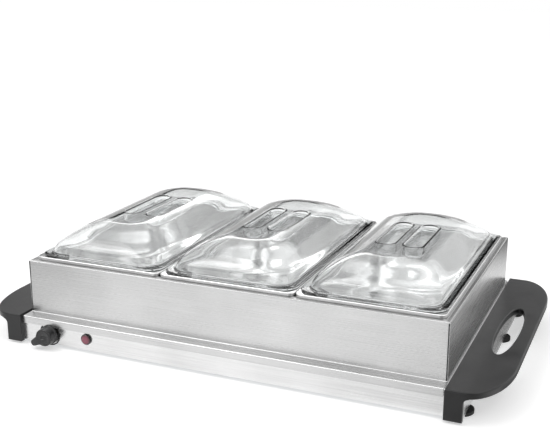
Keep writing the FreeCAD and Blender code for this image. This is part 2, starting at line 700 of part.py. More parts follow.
def oval(name, along_y, along_x, x, y, height):
    """An upright elliptical column by its two half-axes, the longer one along Y."""
    ring = doc.addObject("Part::Ellipse", name + "_ring")
    ring.Placement = Placement(Vector(), Rotation(Vector(0, 0, 1), 90))
    bind(ring, {"MajorRadius": along_y, "MinorRadius": along_x})
    bind(ring, {"Placement.Base.x": x, "Placement.Base.y": y, "Placement.Base.z": height[0]})
    column = doc.addObject("Part::Extrusion", name)
    column.Base = ring
    column.DirMode = "Custom"
    column.Dir = Vector(0, 0, 1)
    column.Solid = True
    return bind(column, {"LengthFwd": f"({height[1]}) - ({height[0]})"})


def rubber_feet():
    """Eight round rubber feet under the ends, each with a recess for its screw."""
    made = []
    for x, y in feet:
        puck = rod("puck", "foot_diameter", "z", ("0", COVER_FOOT), (x, y))
        recess = rod("recess", "screw_head + 4 * hole_gap", "z", ("-1", "foot_recess"), (x, y))
        hole = rod("hole", SCREW_HOLE, "z", ("0", f"{COVER_FOOT} + 1"), (x, y))
        made.append(cut("foot", puck, [recess, hole]))
    subpart("rubber_feet", group("foot_set", made))


def heating_element():
    """Heat spreader, heating cord, insulation mat and clamp plate, held by weld studs and nuts."""
    x = (f"-{SPREADER_X}", SPREADER_X)
    y = (f"-{SPREADER_Y}", SPREADER_Y)
    layers = (
        ("heat_spreader", SPREADER_FOOT, UNDER_PLATE),
        ("insulation_mat", MAT_FOOT, MAT_TOP),
        ("element_clamp", CLAMP_FOOT, MAT_FOOT),
    )
    for name, low, high in layers:
        holes = [rod("stud_hole", STUD_HOLE, "z", (f"{low} - 1", f"{high} + 1"), place) for place in studs]
        subpart(name, cut(name + "_sheet", block(name + "_blank", x, y, (low, high)), holes))
    stud_foot = f"({UNDER_PLATE} - stud_length)"
    subpart(
        "plate_studs",
        group("stud_set", [rod("stud", "stud_diameter", "z", (stud_foot, UNDER_PLATE), s) for s in studs]),
    )
    nuts = []
    for place in studs:
        blank = hexagon("nut_blank", "nut_across", "z", (f"{CLAMP_FOOT} - nut_height", CLAMP_FOOT), place)
        bore = rod(
            "nut_bore",
            "stud_diameter + 2 * hole_gap",
            "z",
            (f"{CLAMP_FOOT} - nut_height - 1", f"{CLAMP_FOOT} + 1"),
            place,
        )
        nuts.append(cut("nut", blank, [bore]))
    subpart("stud_nuts", group("nut_set", nuts))
    # The cord runs to and fro along X; both ends come out past the spreader's left edge.
    far, turn = f"({SPREADER_X} - heater_margin)", f"(heater_margin - {SPREADER_X})"
    left_end = f"(-{SPREADER_X} - heater_end)"
    corners = []
    for run in range(HEATER_RUNS):
        run_y = f"heater_margin - {SPREADER_Y} + {run} * {HEATER_PITCH}"
        starts = left_end if run == 0 else turn
        ends = left_end if run == HEATER_RUNS - 1 else turn
        pair = [(starts, run_y), (far, run_y)] if run % 2 == 0 else [(far, run_y), (ends, run_y)]
        corners += [at(*place, HEATER_MIDDLE) for place in pair]
    bend = number(HEATER_PITCH) / 2
    subpart("heating_cord", shaped("heating_cord_run", bent_rod(corners, bend, number("heater_diameter"))))
    splice = (f"{left_end} - splice_length", left_end)
    ends_y = (f"heater_margin - {SPREADER_Y}", f"{SPREADER_Y} - heater_margin")
    subpart(
        "cord_splices",
        group(
            "splices", [rod("splice", "splice_diameter", "x", splice, (y, HEATER_MIDDLE)) for y in ends_y]
        ),
    )


def thermostat():
    """The thermostat behind the front skirt, its bush and nut, heat strip, blade terminals and dial ring."""
    x, z = KNOB_X, "knob_height"
    inner = f"(steel_sheet - {SKIRT})"
    rear_face = f"({inner} + thermostat_depth)"
    case = block("case", about(x, "thermostat_width"), (inner, rear_face), about(z, "thermostat_tall"))
    bush_front = f"(-{SKIRT} - bush_reach)"
    bush = rod("bush", "bush_diameter", "y", (bush_front, inner), (x, z))
    bore = rod(
        "bush_bore",
        "spindle_diameter + 2 * running_gap",
        "y",
        (f"{bush_front} - 1", f"{rear_face} - 4"),
        (x, z),
    )
    subpart("thermostat_body", cut("bored_case", fuse("case_and_bush", [case, bush]), [bore]))
    blank = hexagon("bush_nut_blank", "bush_nut", "y", (f"-{SKIRT} - bush_nut_height", f"-{SKIRT}"), (x, z))
    hole = rod(
        "bush_nut_bore",
        "bush_diameter + 2 * hole_gap",
        "y",
        (f"-{SKIRT} - bush_nut_height - 1", f"-{SKIRT} + 1"),
        (x, z),
    )
    subpart("thermostat_nut", cut("bush_nut_piece", blank, [hole]))
    ring = rod("dial_blank", "dial_diameter", "y", (f"-{SKIRT} - dial_thick", f"-{SKIRT}"), (x, z))
    inside = rod(
        "dial_inside",
        "dial_diameter - 2 * dial_width",
        "y",
        (f"-{SKIRT} - dial_thick - 1", f"-{SKIRT} + 1"),
        (x, z),
    )
    subpart("dial_ring", cut("dial", ring, [inside]))
    top = f"({z} + thermostat_tall / 2)"
    wide = about(x, "strip_width")
    strip = [
        block("strip_base", wide, (inner, rear_face), (top, f"{top} + strip_sheet")),
        block("strip_riser", wide, (f"{rear_face} - strip_sheet", rear_face), (top, UNDER_PLATE)),
        block(
            "strip_foot",
            wide,
            (f"{rear_face} - strip_sheet", f"{rear_face} + strip_foot"),
            (f"{UNDER_PLATE} - strip_sheet", UNDER_PLATE),
        ),
    ]
    subpart("thermostat_bracket", fuse("heat_strip", strip))
    tabs = []
    for side in (LEFT, RIGHT):
        tab_x = about(f"{x} + ({side}) * tab_pitch / 2", "strip_sheet")
        tabs.append(block("tab", tab_x, (rear_face, f"{rear_face} + tab_length"), about(z, "tab_width")))
    subpart("thermostat_tabs", group("tab_pair", tabs))


def knob():
    """The thermostat's spindle, and the knob pressed on it: a round body with a pointer beak."""
    x, z = KNOB_X, "knob_height"
    back = f"(-{SKIRT} - knob_gap)"
    front = f"({back} - knob_depth)"
    tip = f"(-{SKIRT} - spindle_reach)"
    spindle = rod(
        "spindle_bar",
        "spindle_diameter",
        "y",
        (tip, f"steel_sheet - {SKIRT} + thermostat_depth - 5"),
        (x, z),
    )
    flat_top = f"{z} + spindle_diameter / 2 - spindle_flat"
    flat = block(
        "flat",
        about(x, "spindle_diameter"),
        (f"{tip} - 1", f"{back} - knob_hollow_depth"),
        (flat_top, f"{flat_top} + spindle_diameter"),
    )
    subpart("thermostat_spindle", cut("spindle", spindle, [flat]))

    disc = rod("knob_disc", "knob_diameter", "y", (front, back), (x, z))
    beak = doc.addObject("Part::Box", "beak")
    bind(beak, {"Length": "beak_reach", "Width": "beak_width", "Height": "beak_depth"})
    turned = doc.addObject("Part::Compound", "turned_beak")
    turned.Links = [beak]
    bind(beak, {"Placement.Base.y": "-beak_width / 2"})
    swing = Rotation(Vector(0, 1, 0), -number("beak_angle")).multiply(Rotation(Vector(1, 0, 0), -90))
    turned.Placement = Placement(Vector(), swing)
    bind(turned, {"Placement.Base.x": x, "Placement.Base.y": front, "Placement.Base.z": z})
    solid = fuse("knob_solid", [disc, turned])
    soft = rounded("soft_knob", solid, "knob_round", lambda edge: level(edge, "Y", front))
    hollow = rod("knob_back", "knob_hollow", "y", (f"{back} - knob_hollow_depth", f"{back} + 1"), (x, z))
    seat = rod("spindle_seat", "spindle_diameter", "y", (tip, f"{back} - knob_hollow_depth + 1"), (x, z))
    flat_seat = block(
        "flat_seat",
        about(x, "spindle_diameter"),
        (tip, f"{back} - knob_hollow_depth"),
        (flat_top, f"{flat_top} + spindle_diameter"),
    )
    bore = cut("flatted_seat", seat, [flat_seat])
    subpart("knob", cut("knob_piece", soft, [hollow, bore]))


def indicator_lamp():
    """The lamp: a barrel through the skirt, a clip behind it, and a ring and a domed lens in front."""
    x, z = LAMP_X, "lamp_height"
    front = f"(-{SKIRT} - lamp_tip)"
    subpart("lamp_body", rod("barrel", "lamp_barrel", "y", (front, f"lamp_length - {SKIRT}"), (x, z)))
    inner = f"(steel_sheet - {SKIRT})"
    clip = rod("clip_blank", "lamp_ring_diameter", "y", (inner, f"{inner} + strip_sheet"), (x, z))
    hole = rod("clip_hole", "lamp_barrel", "y", (f"{inner} - 1", f"{inner} + strip_sheet + 1"), (x, z))
    subpart("lamp_clip", cut("clip", clip, [hole]))
    ring = rod(
        "ring_blank", "lamp_ring_diameter", "y", (f"-{SKIRT} - lamp_ring_thick", f"-{SKIRT}"), (x, z)
    )
    bore = rod(
        "ring_bore", "lens_diameter", "y", (f"-{SKIRT} - lamp_ring_thick - 1", f"-{SKIRT} + 1"), (x, z)
    )
    subpart("lamp_ring", cut("ring", ring, [bore]))
    # The dome is the cap of a ball that meets the lens's edge at the ring's front.
    ball_radius = "((lens_diameter ^ 2 / 4 + lens_bulge ^ 2) / (2 * lens_bulge))"
    tip = f"(-{SKIRT} - lamp_ring_thick - lens_bulge)"
    ball = doc.addObject("Part::Sphere", "lens_ball")
    places = {"Placement.Base.x": x, "Placement.Base.y": f"{tip} + {ball_radius}", "Placement.Base.z": z}
    bind(ball, {"Radius": ball_radius, **places})
    stem = rod("lens_stem", "lens_diameter", "y", (f"{tip} - 1", front), (x, z))
    subpart("lamp_lens", common("lens", stem, ball))


def thermal_fuse():
    """The thermal fuse against the plate's underside, and the strap clip that holds it there."""
    y = f"(fuse_back - {SKIRT})"
    z = f"({UNDER_PLATE} - fuse_diameter / 2)"
    subpart("thermal_fuse", rod("fuse", "fuse_diameter", "x", about(FUSE_X, "fuse_length"), (y, z)))
    wide = about(FUSE_X, "fuse_length / 2")
    side = f"({y} - fuse_diameter / 2)"
    low = f"({UNDER_PLATE} - fuse_diameter)"
    parts = [
        block(
            "clip_foot",
            wide,
            (f"{side} - strip_foot / 2", side),
            (f"{UNDER_PLATE} - strip_sheet", UNDER_PLATE),
        ),
        block("clip_wall", wide, (f"{side} - strip_sheet", side), (f"{low} - strip_sheet", UNDER_PLATE)),
        block(
            "clip_floor",
            wide,
            (f"{side} - strip_sheet", f"{y} + fuse_diameter / 2"),
            (f"{low} - strip_sheet", low),
        ),
    ]
    subpart("fuse_clip", fuse("strap", parts))


def terminals():
    """Terminal block and earth stud on the bottom cover, and the cord gland in the rear skirt."""
    middle_y = f"({SKIRT} - terminal_back)"
    top = f"({HOUSING_FOOT} + terminal_tall)"
    across = about(TERMINAL_X, "terminal_length")
    subpart(
        "terminal_block", block("terminal", across, about(middle_y, "terminal_depth"), (HOUSING_FOOT, top))
    )
    heads = []
    for place in range(TERMINALS):
        x = f"{TERMINAL_X} + ({place - 1}) * terminal_pitch"
        heads.append(
            rod("terminal_head", "terminal_screw", "z", (top, f"{top} + head_height"), (x, middle_y)),
        )
    subpart("terminal_screws", group("terminal_heads", heads))
    spot = (EARTH_X, middle_y)
    tag_top = f"({HOUSING_FOOT} + strip_sheet)"
    subpart(
        "earth_stud",
        rod("earth_bar", "stud_diameter", "z", (HOUSING_FOOT, f"{tag_top} + 2 * nut_height"), spot),
    )
    tag = block(
        "tag_blade",
        (f"{EARTH_X} - strip_foot", EARTH_X),
        about(middle_y, "tab_width"),
        (HOUSING_FOOT, tag_top),
    )
    eye = rod("tag_eye", "nut_across + 2", "z", (HOUSING_FOOT, tag_top), spot)
    hole = rod("tag_hole", STUD_HOLE, "z", (f"{HOUSING_FOOT} - 1", f"{tag_top} + 1"), spot)
    subpart("earth_tag", cut("tag", fuse("tag_blank", [tag, eye]), [hole]))
    nut = hexagon("earth_nut_blank", "nut_across", "z", (tag_top, f"{tag_top} + nut_height"), spot)
    thread = rod("earth_nut_bore", STUD_HOLE, "z", (f"{tag_top} - 1", f"{tag_top} + nut_height + 1"), spot)
    subpart("earth_nut", cut("earth_nut_piece", nut, [thread]))

    x, z = GLAND_X, "gland_height"
    inner_end, outer_end = f"({SKIRT} - gland_inside)", f"({SKIRT} + gland_reach)"
    barrel = rod("gland_barrel_bar", "gland_barrel", "y", (inner_end, f"{SKIRT} + collar_thick"), (x, z))
    collar = rod("gland_collar_disc", "gland_collar", "y", (SKIRT, f"{SKIRT} + collar_thick"), (x, z))
    nose = doc.addObject("Part::Cone", "gland_nose_cone")
    nose.Placement = Placement(Vector(), ALONG["y"][0])
    places = {"Placement.Base.x": x, "Placement.Base.y": f"{SKIRT} + collar_thick", "Placement.Base.z": z}
    bind(
        nose,
        {
            "Radius1": "gland_barrel / 2",
            "Radius2": "gland_nose / 2",
            "Height": "gland_reach - collar_thick",
            **places,
        },
    )
    bore = rod("gland_hole", "gland_bore", "y", (f"{inner_end} - 1", f"{outer_end} + 1"), (x, z))
    subpart("cord_gland", cut("gland", fuse("gland_solid", [barrel, collar, nose]), [bore]))


def internal_wires():
    """The insulated wires between the terminals, thermostat, thermal fuse, lamp and heating cord."""
    left_end = f"(-{SPREADER_X} - heater_end - splice_length)"
    run_y = f"({SPREADER_Y} - heater_margin)"
    tail_x = f"{left_end} - wire_tail"
    terminal_face = f"({SKIRT} - terminal_back - terminal_depth / 2)"
    terminal_y = f"({SKIRT} - terminal_back)"
    terminal_left_face = f"{TERMINAL_X} - terminal_length / 2"
    tab_end = f"(steel_sheet - {SKIRT} + thermostat_depth + tab_length)"
    fuse_y = f"(fuse_back - {SKIRT})"
    fuse_z = f"({UNDER_PLATE} - fuse_diameter / 2)"
    behind = f"{tab_end} + 2 * wire_bend"
    live_x = f"{TERMINAL_X} + terminal_pitch"
    lamp_y = f"(lamp_length - {SKIRT})"
    routes = [
        # terminal to the heating cord's rear end
        [
            (terminal_left_face, terminal_y, "wire_height"),
            (tail_x, terminal_y, "wire_height"),
            (tail_x, run_y, HEATER_MIDDLE),
            (left_end, run_y, HEATER_MIDDLE),
        ],
        # terminal to the thermostat
        [
            (live_x, terminal_face, "wire_height"),
            (live_x, f"{behind} + 20", "wire_height"),
            (f"{KNOB_X} + tab_pitch / 2", behind, "knob_height"),
            (f"{KNOB_X} + tab_pitch / 2", tab_end, "knob_height"),
        ],
        # thermostat to the thermal fuse, over the last wire and under the next
        [
            (f"{KNOB_X} - tab_pitch / 2", tab_end, "knob_height"),
            (f"{KNOB_X} - tab_pitch / 2", f"{tab_end} + 4 * wire_bend", "knob_height"),
            (f"{FUSE_X} - 12 * wire_bend", f"{tab_end} + 4 * wire_bend", "knob_height + 1"),
            (f"{FUSE_X} - 9 * wire_bend", fuse_y, "knob_height + 1"),
            (f"{FUSE_X} - 20", fuse_y, fuse_z),
            (f"{FUSE_X} - fuse_length / 2", fuse_y, fuse_z),
        ],
        # thermal fuse to the heating cord's front end
        [
            (f"{FUSE_X} + fuse_length / 2", fuse_y, fuse_z),
            (f"{FUSE_X} + 20", fuse_y, fuse_z),
            (f"{FUSE_X} + 20", f"{tab_end} + 5", f"{fuse_z} - 5"),
            (tail_x, f"{tab_end} + 5", f"{fuse_z} - 5"),
            (tail_x, f"-{run_y}", HEATER_MIDDLE),
            (left_end, f"-{run_y}", HEATER_MIDDLE),
        ],
        # earth tag to its terminal
        [
            (f"{EARTH_X} - strip_foot", terminal_y, f"{HOUSING_FOOT} + wire_diameter / 2"),
            (f"{TERMINAL_X} + terminal_length / 2", terminal_y, f"{HOUSING_FOOT} + wire_diameter / 2"),
        ],
    ]
    # both leads of the lamp run back to the terminals, the left one over the thermostat's wire
    leads = (
        (LEFT, TERMINAL_X, "wire_height + wire_lift", [(TERMINAL_X, f"{lamp_y} + 90", "wire_height")]),
        (RIGHT, f"{TERMINAL_X} + 1.3 * terminal_pitch", "wire_height", []),
    )
    for side, terminal, height, landing in leads:
        lead_x = f"{LAMP_X} + ({side}) * wire_diameter"
        start = [(lead_x, lamp_y, "lamp_height"), (lead_x, f"{lamp_y} + 3", "lamp_height")]
        middle = [(lead_x, f"{lamp_y} + 30", height), (terminal, f"{lamp_y} + 60", height)]
        routes.append(start + middle + landing + [(terminal, terminal_face, "wire_height")])
    runs = []
    for corners in routes:
        points = [at(*corner) for corner in corners]
        runs.append(shaped("wire", bent_rod(points, number("wire_bend"), number("wire_diameter"))))
    subpart("internal_wires", group("wire_set", runs))


# Pan frame ---------------------------------------------------------------------------------------------


def flange_strip(name, side, along, half_length, half_across):
    """A mitred strip of the frame's top flange: as long as the frame outside, shorter inside."""
    strip = doc.addObject("Part::Wedge", name)
    long, short = half_length, f"({half_length} - frame_flange)"
    outer = f"(0 - {half_across})"
    sums = {
        "Xmin": f"0 - {long}",
        "Xmax": long,
        "X2min": f"0 - {short}",
        "X2max": short,
        "Ymin": outer,
        "Ymax": f"{outer} + frame_flange",
        "Zmin": f"{FRAME_TOP} - frame_sheet",
        "Zmax": FRAME_TOP,
        "Z2min": f"{FRAME_TOP} - frame_sheet",
        "Z2max": FRAME_TOP,
    }
    turn = {("x", FRONT): 0, ("x", REAR): 180, ("y", LEFT): -90, ("y", RIGHT): 90}[along, side]
    strip.Placement = Placement(Vector(), Rotation(Vector(0, 0, 1), turn))
    return bind(strip, sums)


def frame():
    """The pan frame: four folded panels, corner brackets inside and the rivets that hold them."""
    end, side_face = FRAME_END, FRAME_SIDE
    flange_foot = f"({FRAME_TOP} - frame_sheet)"
    wall_end = f"({end} - corner_reveal)"
    ledge = f"({SKIRT} + hook_gap + frame_sheet)"
    ledge_top = f"({FRAME_FOOT} + frame_sheet)"
    for name, side in (("front_panel", FRONT), ("rear_panel", REAR)):
        parts = [
            block(
                "wall",
                (f"-{wall_end}", wall_end),
                span(side, f"{side_face} - frame_sheet", side_face),
                (FRAME_FOOT, flange_foot),
            ),
            flange_strip("flange_strip", side, "x", end, side_face),
            block(
                "ledge",
                (f"-{end}", end),
                span(side, f"{side_face} - frame_sheet", ledge),
                (FRAME_FOOT, ledge_top),
            ),
            block(
                "lip",
                (f"-{end}", end),
                span(side, f"{ledge} - frame_sheet", ledge),
                (f"{ledge_top} - lip_drop", ledge_top),
            ),
        ]
        subpart(name, fuse(name + "_fold", parts))
    for name, side in (("left_panel", LEFT), ("right_panel", RIGHT)):
        long = f"({side_face} - frame_sheet)"
        parts = [
            block(
                "wall",
                span(side, f"{end} - frame_sheet", end),
                (f"-{side_face}", side_face),
                (ledge_top, flange_foot),
            ),
            block(
                "wall_foot",
                span(side, f"{end} - frame_sheet", end),
                (f"-{long}", long),
                (FRAME_FOOT, ledge_top),
            ),
            flange_strip("flange_strip", side, "y", side_face, end),
        ]
        subpart(name, fuse(name + "_fold", parts))
    rivets = []
    for along in (LEFT, RIGHT):
        for across in (FRONT, REAR):
            where = f"{'left' if along < 0 else 'right'}_{'front' if across < 0 else 'rear'}"
            corner_x, corner_y = f"({end} - frame_sheet)", f"({side_face} - frame_sheet)"
            thin_x, thin_y = f"({corner_x} - bracket_sheet)", f"({corner_y} - bracket_sheet)"
            upright = (f"{FRAME_FOOT} + bracket_gap", f"{FRAME_TOP} - frame_sheet - bracket_gap")
            legs = [
                block(
                    "leg_x",
                    span(along, f"{corner_x} - bracket_leg", corner_x),
                    span(across, thin_y, corner_y),
                    upright,
                ),
                block(
                    "leg_y",
                    span(along, thin_x, corner_x),
                    span(across, f"{corner_y} - bracket_leg", corner_y),
                    upright,
                ),
            ]
            bracket = fuse("angle", legs)
            holes = []
            for height in (f"{FRAME_FOOT} + rivet_inset", f"{FRAME_TOP} - frame_sheet - rivet_inset"):
                leg_x = f"({along}) * ({corner_x} - bracket_leg / 2 - bracket_sheet / 2)"
                leg_y = f"({across}) * ({corner_y} - bracket_leg / 2 - bracket_sheet / 2)"
                shank_y = span(across, thin_y, corner_y)
                head_y = span(across, f"{thin_y} - rivet_height", thin_y)
                shank_x = span(along, thin_x, corner_x)
                head_x = span(along, f"{thin_x} - rivet_height", thin_x)
                pair = (("y", shank_y, head_y, (leg_x, height)), ("x", shank_x, head_x, (leg_y, height)))
                for axis, shank, head, middle in pair:
                    holes.append(
                        rod(
                            "rivet_hole",
                            "rivet_shank + 2 * hole_gap",
                            axis,
                            (f"{shank[0]} - 1", f"{shank[1]} + 1"),
                            middle,
                        ),
                    )
                    rivets.append(
                        fuse(
                            "rivet",
                            [
                                rod("rivet_bar", "rivet_shank", axis, shank, middle),
                                rod("rivet_top", "rivet_head", axis, head, middle),
                            ],
                        ),
                    )
            subpart(f"bracket_{where}", cut("bracket", bracket, holes))
    subpart("bracket_rivets", group("rivet_set", rivets))


# Pans and lids -----------------------------------------------------------------------------------------


def pan_pattern():
    """One food pan, its rim's top at height zero: flat rim with a turned-down edge, and a drafted well."""
    pan = doc.addObject("PartDesign::Body", "pan_pattern")
    rim = rounded_rectangle("rim", "pan_width", "pan_length", "rim_corner", "-rim_drop", pan)
    pad(pan, "rim_slab", rim, "rim_drop")
    inset = "2 * pan_sheet"
    under = rounded_rectangle(
        "rim_inside",
        f"pan_width - {inset}",
        f"pan_length - {inset}",
        "rim_corner - pan_sheet",
        "-rim_drop",
        pan,
    )
    pocket(pan, "rim_channel", under, "rim_drop - pan_sheet", up=True)
    well = rounded_rectangle("well", WELL_WIDTH, WELL_LENGTH, "pan_corner", "0", pan)
    pad(pan, "well_blank", well, "pan_depth", down=True, draft="pan_draft")
    hollow = rounded_rectangle(
        "hollow", f"{WELL_WIDTH} - {inset}", f"{WELL_LENGTH} - {inset}", "pan_corner - pan_sheet", "0", pan
    )
    pocket(pan, "hollow_cut", hollow, "pan_depth - pan_sheet", draft="pan_draft")
    soften(
        pan, "hollow_edge", "base_round - pan_sheet", lambda edge: level(edge, "Z", "pan_sheet - pan_depth")
    )
    soften(pan, "base_edge", "base_round", lambda edge: level(edge, "Z", "-pan_depth"))
    soften(pan, "rim_edges", "rim_round", lambda edge: level(edge, "Z", "0"))
    return pan


def lid_pattern():
    """One clear lid, its flange's underside at height zero: flange, locating rim, dome and finger wells."""
    stages = [
        ("0", "foot_inset_dome", "foot_corner"),
        ("wall_level", "wall_inset", "wall_corner"),
        ("haunch_level", "haunch_inset", "haunch_corner"),
        ("shoulder_level", f"({LID_WIDTH} - shoulder_width) / 2", "shoulder_corner"),
        ("dome_height", f"({LID_WIDTH} - crown_width) / 2", "crown_corner"),
    ]

    def dome(name, wall):
        """A smooth loft through the dome's stages, thinner by a wall."""
        rings = []
        for place, (height, inset, corner) in enumerate(stages):
            lower = (wall, height)[place] if place < 2 else f"{height} - {wall}"
            width = f"{LID_WIDTH} - 2 * ({inset} + {wall})"
            length = f"{LID_LENGTH} - 2 * ({inset} + {wall})"
            rings.append(rounded_rectangle(f"{name}_ring", width, length, f"{corner} - {wall} / 2", lower))
        loft = doc.addObject("Part::Loft", name)
        loft.Sections = rings
        loft.Solid = True
        loft.Ruled = False
        return loft

    outer, inner = dome("dome_outer", "0"), dome("dome_inner", "lid_sheet")
    flange_outline = rounded_rectangle("flange_outline", LID_WIDTH, LID_LENGTH, "lid_corner", "0")
    flange = raised("lid_flange", flange_outline, "lid_sheet")
    locate_inset = "2 * (rim_width + pan_sheet + locate_gap)"
    locate_corner = "pan_corner - pan_sheet - locate_gap"
    locate_outline = rounded_rectangle(
        "locate_outline",
        f"pan_width - {locate_inset}",
        f"pan_length - {locate_inset}",
        locate_corner,
        "-locate_drop",
    )
    locate = raised("locate_rim", locate_outline, "locate_drop + lid_sheet")
    free_inset = f"{locate_inset} + 2 * lid_sheet"
    free_outline = rounded_rectangle(
        "free_outline",
        f"pan_width - {free_inset}",
        f"pan_length - {free_inset}",
        f"{locate_corner} - lid_sheet",
        "-locate_drop - 1",
    )
    free = raised("locate_free", free_outline, "locate_drop + lid_sheet + 1")
    shell = cut("dome_shell", fuse("lid_blank", [outer, flange, locate]), [inner, free])
    cups, wells = [], []
    for side in (LEFT, RIGHT):
        x = span(side, "grip_rib / 2", "grip_rib / 2 + grip_width")
        y = about("0", "grip_length")
        cup_x = span(side, "grip_rib / 2 - lid_sheet", "grip_rib / 2 + grip_width + lid_sheet")
        cup_y = about("0", "grip_length + 2 * lid_sheet")
        floor = "dome_height - grip_depth"
        cup = block("cup_block", cup_x, cup_y, (f"{floor} - lid_sheet", "dome_height + 1"))
        cups.append(
            common("cup", outer, softened_uprights("soft_cup", cup, "grip_width / 2 + lid_sheet - 0.2")),
        )
        well = block("well_block", x, y, (floor, "dome_height + 1"))
        wells.append(softened_uprights("soft_well", well, "grip_width / 2 - 0.2"))
    return cut("lid_pattern", fuse("lid_with_cups", [shell, *cups]), wells)


def raised(name, sketch, height):
    """A slab of a height over a sketch."""
    slab = doc.addObject("Part::Extrusion", name)
    slab.Base = sketch
    slab.DirMode = "Custom"
    slab.Dir = Vector(0, 0, 1)
    slab.Solid = True
    return bind(slab, {"LengthFwd": height})


def softened_uprights(name, base, radius):
    """A block with its four upright edges rounded."""
    return rounded(name, base, radius, lambda edge: edge.BoundBox.ZLength > 1)


def pans_and_lids():
    """Three pans in the frame and a lid on each."""
    pan, lid = pan_pattern(), lid_pattern()
    for place, where in enumerate(("left", "middle", "right")):
        x = f"({place - PANS // 2}) * {PAN_PITCH}"
        subpart(f"pan_{where}", again(f"pan_{where}_piece", pan, x, "0", PAN_RIM))
        subpart(f"lid_{where}", again(f"lid_{where}_piece", lid, x, "0", LID_FOOT))


housing()
bottom_cover()
housing_screws()
end_cap("end_cap_left", LEFT)
end_cap("end_cap_right", RIGHT)
rubber_feet()
heating_element()
thermostat()
knob()
indicator_lamp()
thermal_fuse()
terminals()
internal_wires()
frame()
pans_and_lids()

doc.recompute()
faults = [f"{item.Label}: {item.State}" for item in doc.Objects if {"Invalid", "Error"} & set(item.State)]
for piece in subparts:
    shape = piece.Shape
    if shape.isNull() or not shape.isValid() or not shape.Solids:
        faults.append(f"{piece.Label}: its shape is empty or not valid")
if faults:
    raise SystemExit("\n".join(faults))

os.makedirs("parts", exist_ok=True)
for piece in subparts:
    piece.Shape.exportStep(f"parts/{piece.Label}.step")
    volume = sum(solid.Volume for solid in piece.Shape.Solids)
    print(f"{piece.Label:22} {len(piece.Shape.Solids):3} solids {volume / 1000:10.2f} cm3")
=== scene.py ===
"""Electric food warmer: a warming tray, a pan frame, three drawn steel pans and three clear lids.

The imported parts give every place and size. This script gives each visible piece its real form and finish.
"""

import math

import bmesh
import bpy
import numpy as np
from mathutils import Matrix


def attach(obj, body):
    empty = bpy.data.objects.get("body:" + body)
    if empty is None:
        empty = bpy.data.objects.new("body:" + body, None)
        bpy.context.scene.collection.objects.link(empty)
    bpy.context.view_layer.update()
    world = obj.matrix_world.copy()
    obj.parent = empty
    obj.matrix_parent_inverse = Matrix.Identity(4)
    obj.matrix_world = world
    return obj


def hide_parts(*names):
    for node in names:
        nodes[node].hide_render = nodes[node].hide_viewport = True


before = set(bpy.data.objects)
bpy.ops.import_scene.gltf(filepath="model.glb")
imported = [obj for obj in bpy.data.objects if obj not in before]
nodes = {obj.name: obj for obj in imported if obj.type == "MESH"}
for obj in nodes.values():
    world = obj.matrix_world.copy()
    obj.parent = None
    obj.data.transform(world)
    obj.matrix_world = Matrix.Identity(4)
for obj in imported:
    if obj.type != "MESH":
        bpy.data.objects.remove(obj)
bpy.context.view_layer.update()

MM = 0.001

# Sizes are in millimetres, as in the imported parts. WHERE gives the middle of each pan and its lid along X.
WHERE = {"left": -176.6, "middle": 0.0, "right": 176.6}
SKIRT_FACE, LAMP_AXIS_X, LAMP_AXIS_Z = -186.5, -178.7, 19.2
FRAME_END, FRAME_SIDE, FRAME_FOOT, FRAME_TOP, FRAME_SHEET = 271.0, 169.5, 36.3, 105.3, 0.8


# Small tools --------------------------------------------------------------------------------------


def linear(code):
    """An sRGB hex colour as the linear red, green, blue and alpha that a shader takes."""
    shown = np.array([int(code[place : place + 2], 16) for place in (1, 3, 5)]) / 255
    light = np.where(shown <= 0.04045, shown / 12.92, ((shown + 0.055) / 1.055) ** 2.4)
    return (*(float(channel) for channel in light), 1.0)


def add(tree, kind, inputs=None, **settings):
    """Adds a node with its settings; an input takes a value, or another node's socket as a link."""
    node = tree.nodes.new(kind)
    for name, value in settings.items():
        setattr(node, name, value)
    for name, value in (inputs or {}).items():
        if isinstance(value, bpy.types.NodeSocket):
            tree.links.new(value, node.inputs[name])
        else:
            node.inputs[name].default_value = value
    return node


def quads(rows, columns, closed=True):
    """Faces between neighbouring rows of a grid of points; a closed grid's rows run back to their start."""
    across = columns if closed else columns - 1
    row, column = np.meshgrid(np.arange(rows - 1), np.arange(across), indexing="ij")
    beside = (column + 1) % columns
    near, far = row * columns, (row + 1) * columns
    return np.stack((near + column, near + beside, far + beside, far + column), -1).reshape(-1, 4)


def rounded_path(corners, radii, steps):
    """A line of straight runs in a plane, with each inner corner turned into an arc of its own radius.

    The arc touches both runs at a distance of radius / tan(half the corner's angle) from the corner."""
    corners = np.asarray(corners, float)
    points = [corners[:1]]
    for before, corner, after, radius in zip(corners, corners[1:], corners[2:], radii):
        back, ahead = before - corner, after - corner
        back, ahead = back / np.linalg.norm(back), ahead / np.linalg.norm(ahead)
        half = math.acos(np.clip(back @ ahead, -1, 1)) / 2
        middle = corner + (back + ahead) / np.linalg.norm(back + ahead) * radius / math.sin(half)
        start, end = corner + back * radius / math.tan(half), corner + ahead * radius / math.tan(half)
        first, last = start - middle, end - middle
        sweep = math.acos(np.clip(first @ last / radius**2, -1, 1))
        share = np.linspace(0, 1, steps + 1)[:, None]
        arc = (np.sin((1 - share) * sweep) * first + np.sin(share * sweep) * last) / math.sin(sweep)
        points.append(middle + arc)
    points.append(corners[-1:])
    return np.concatenate(points)


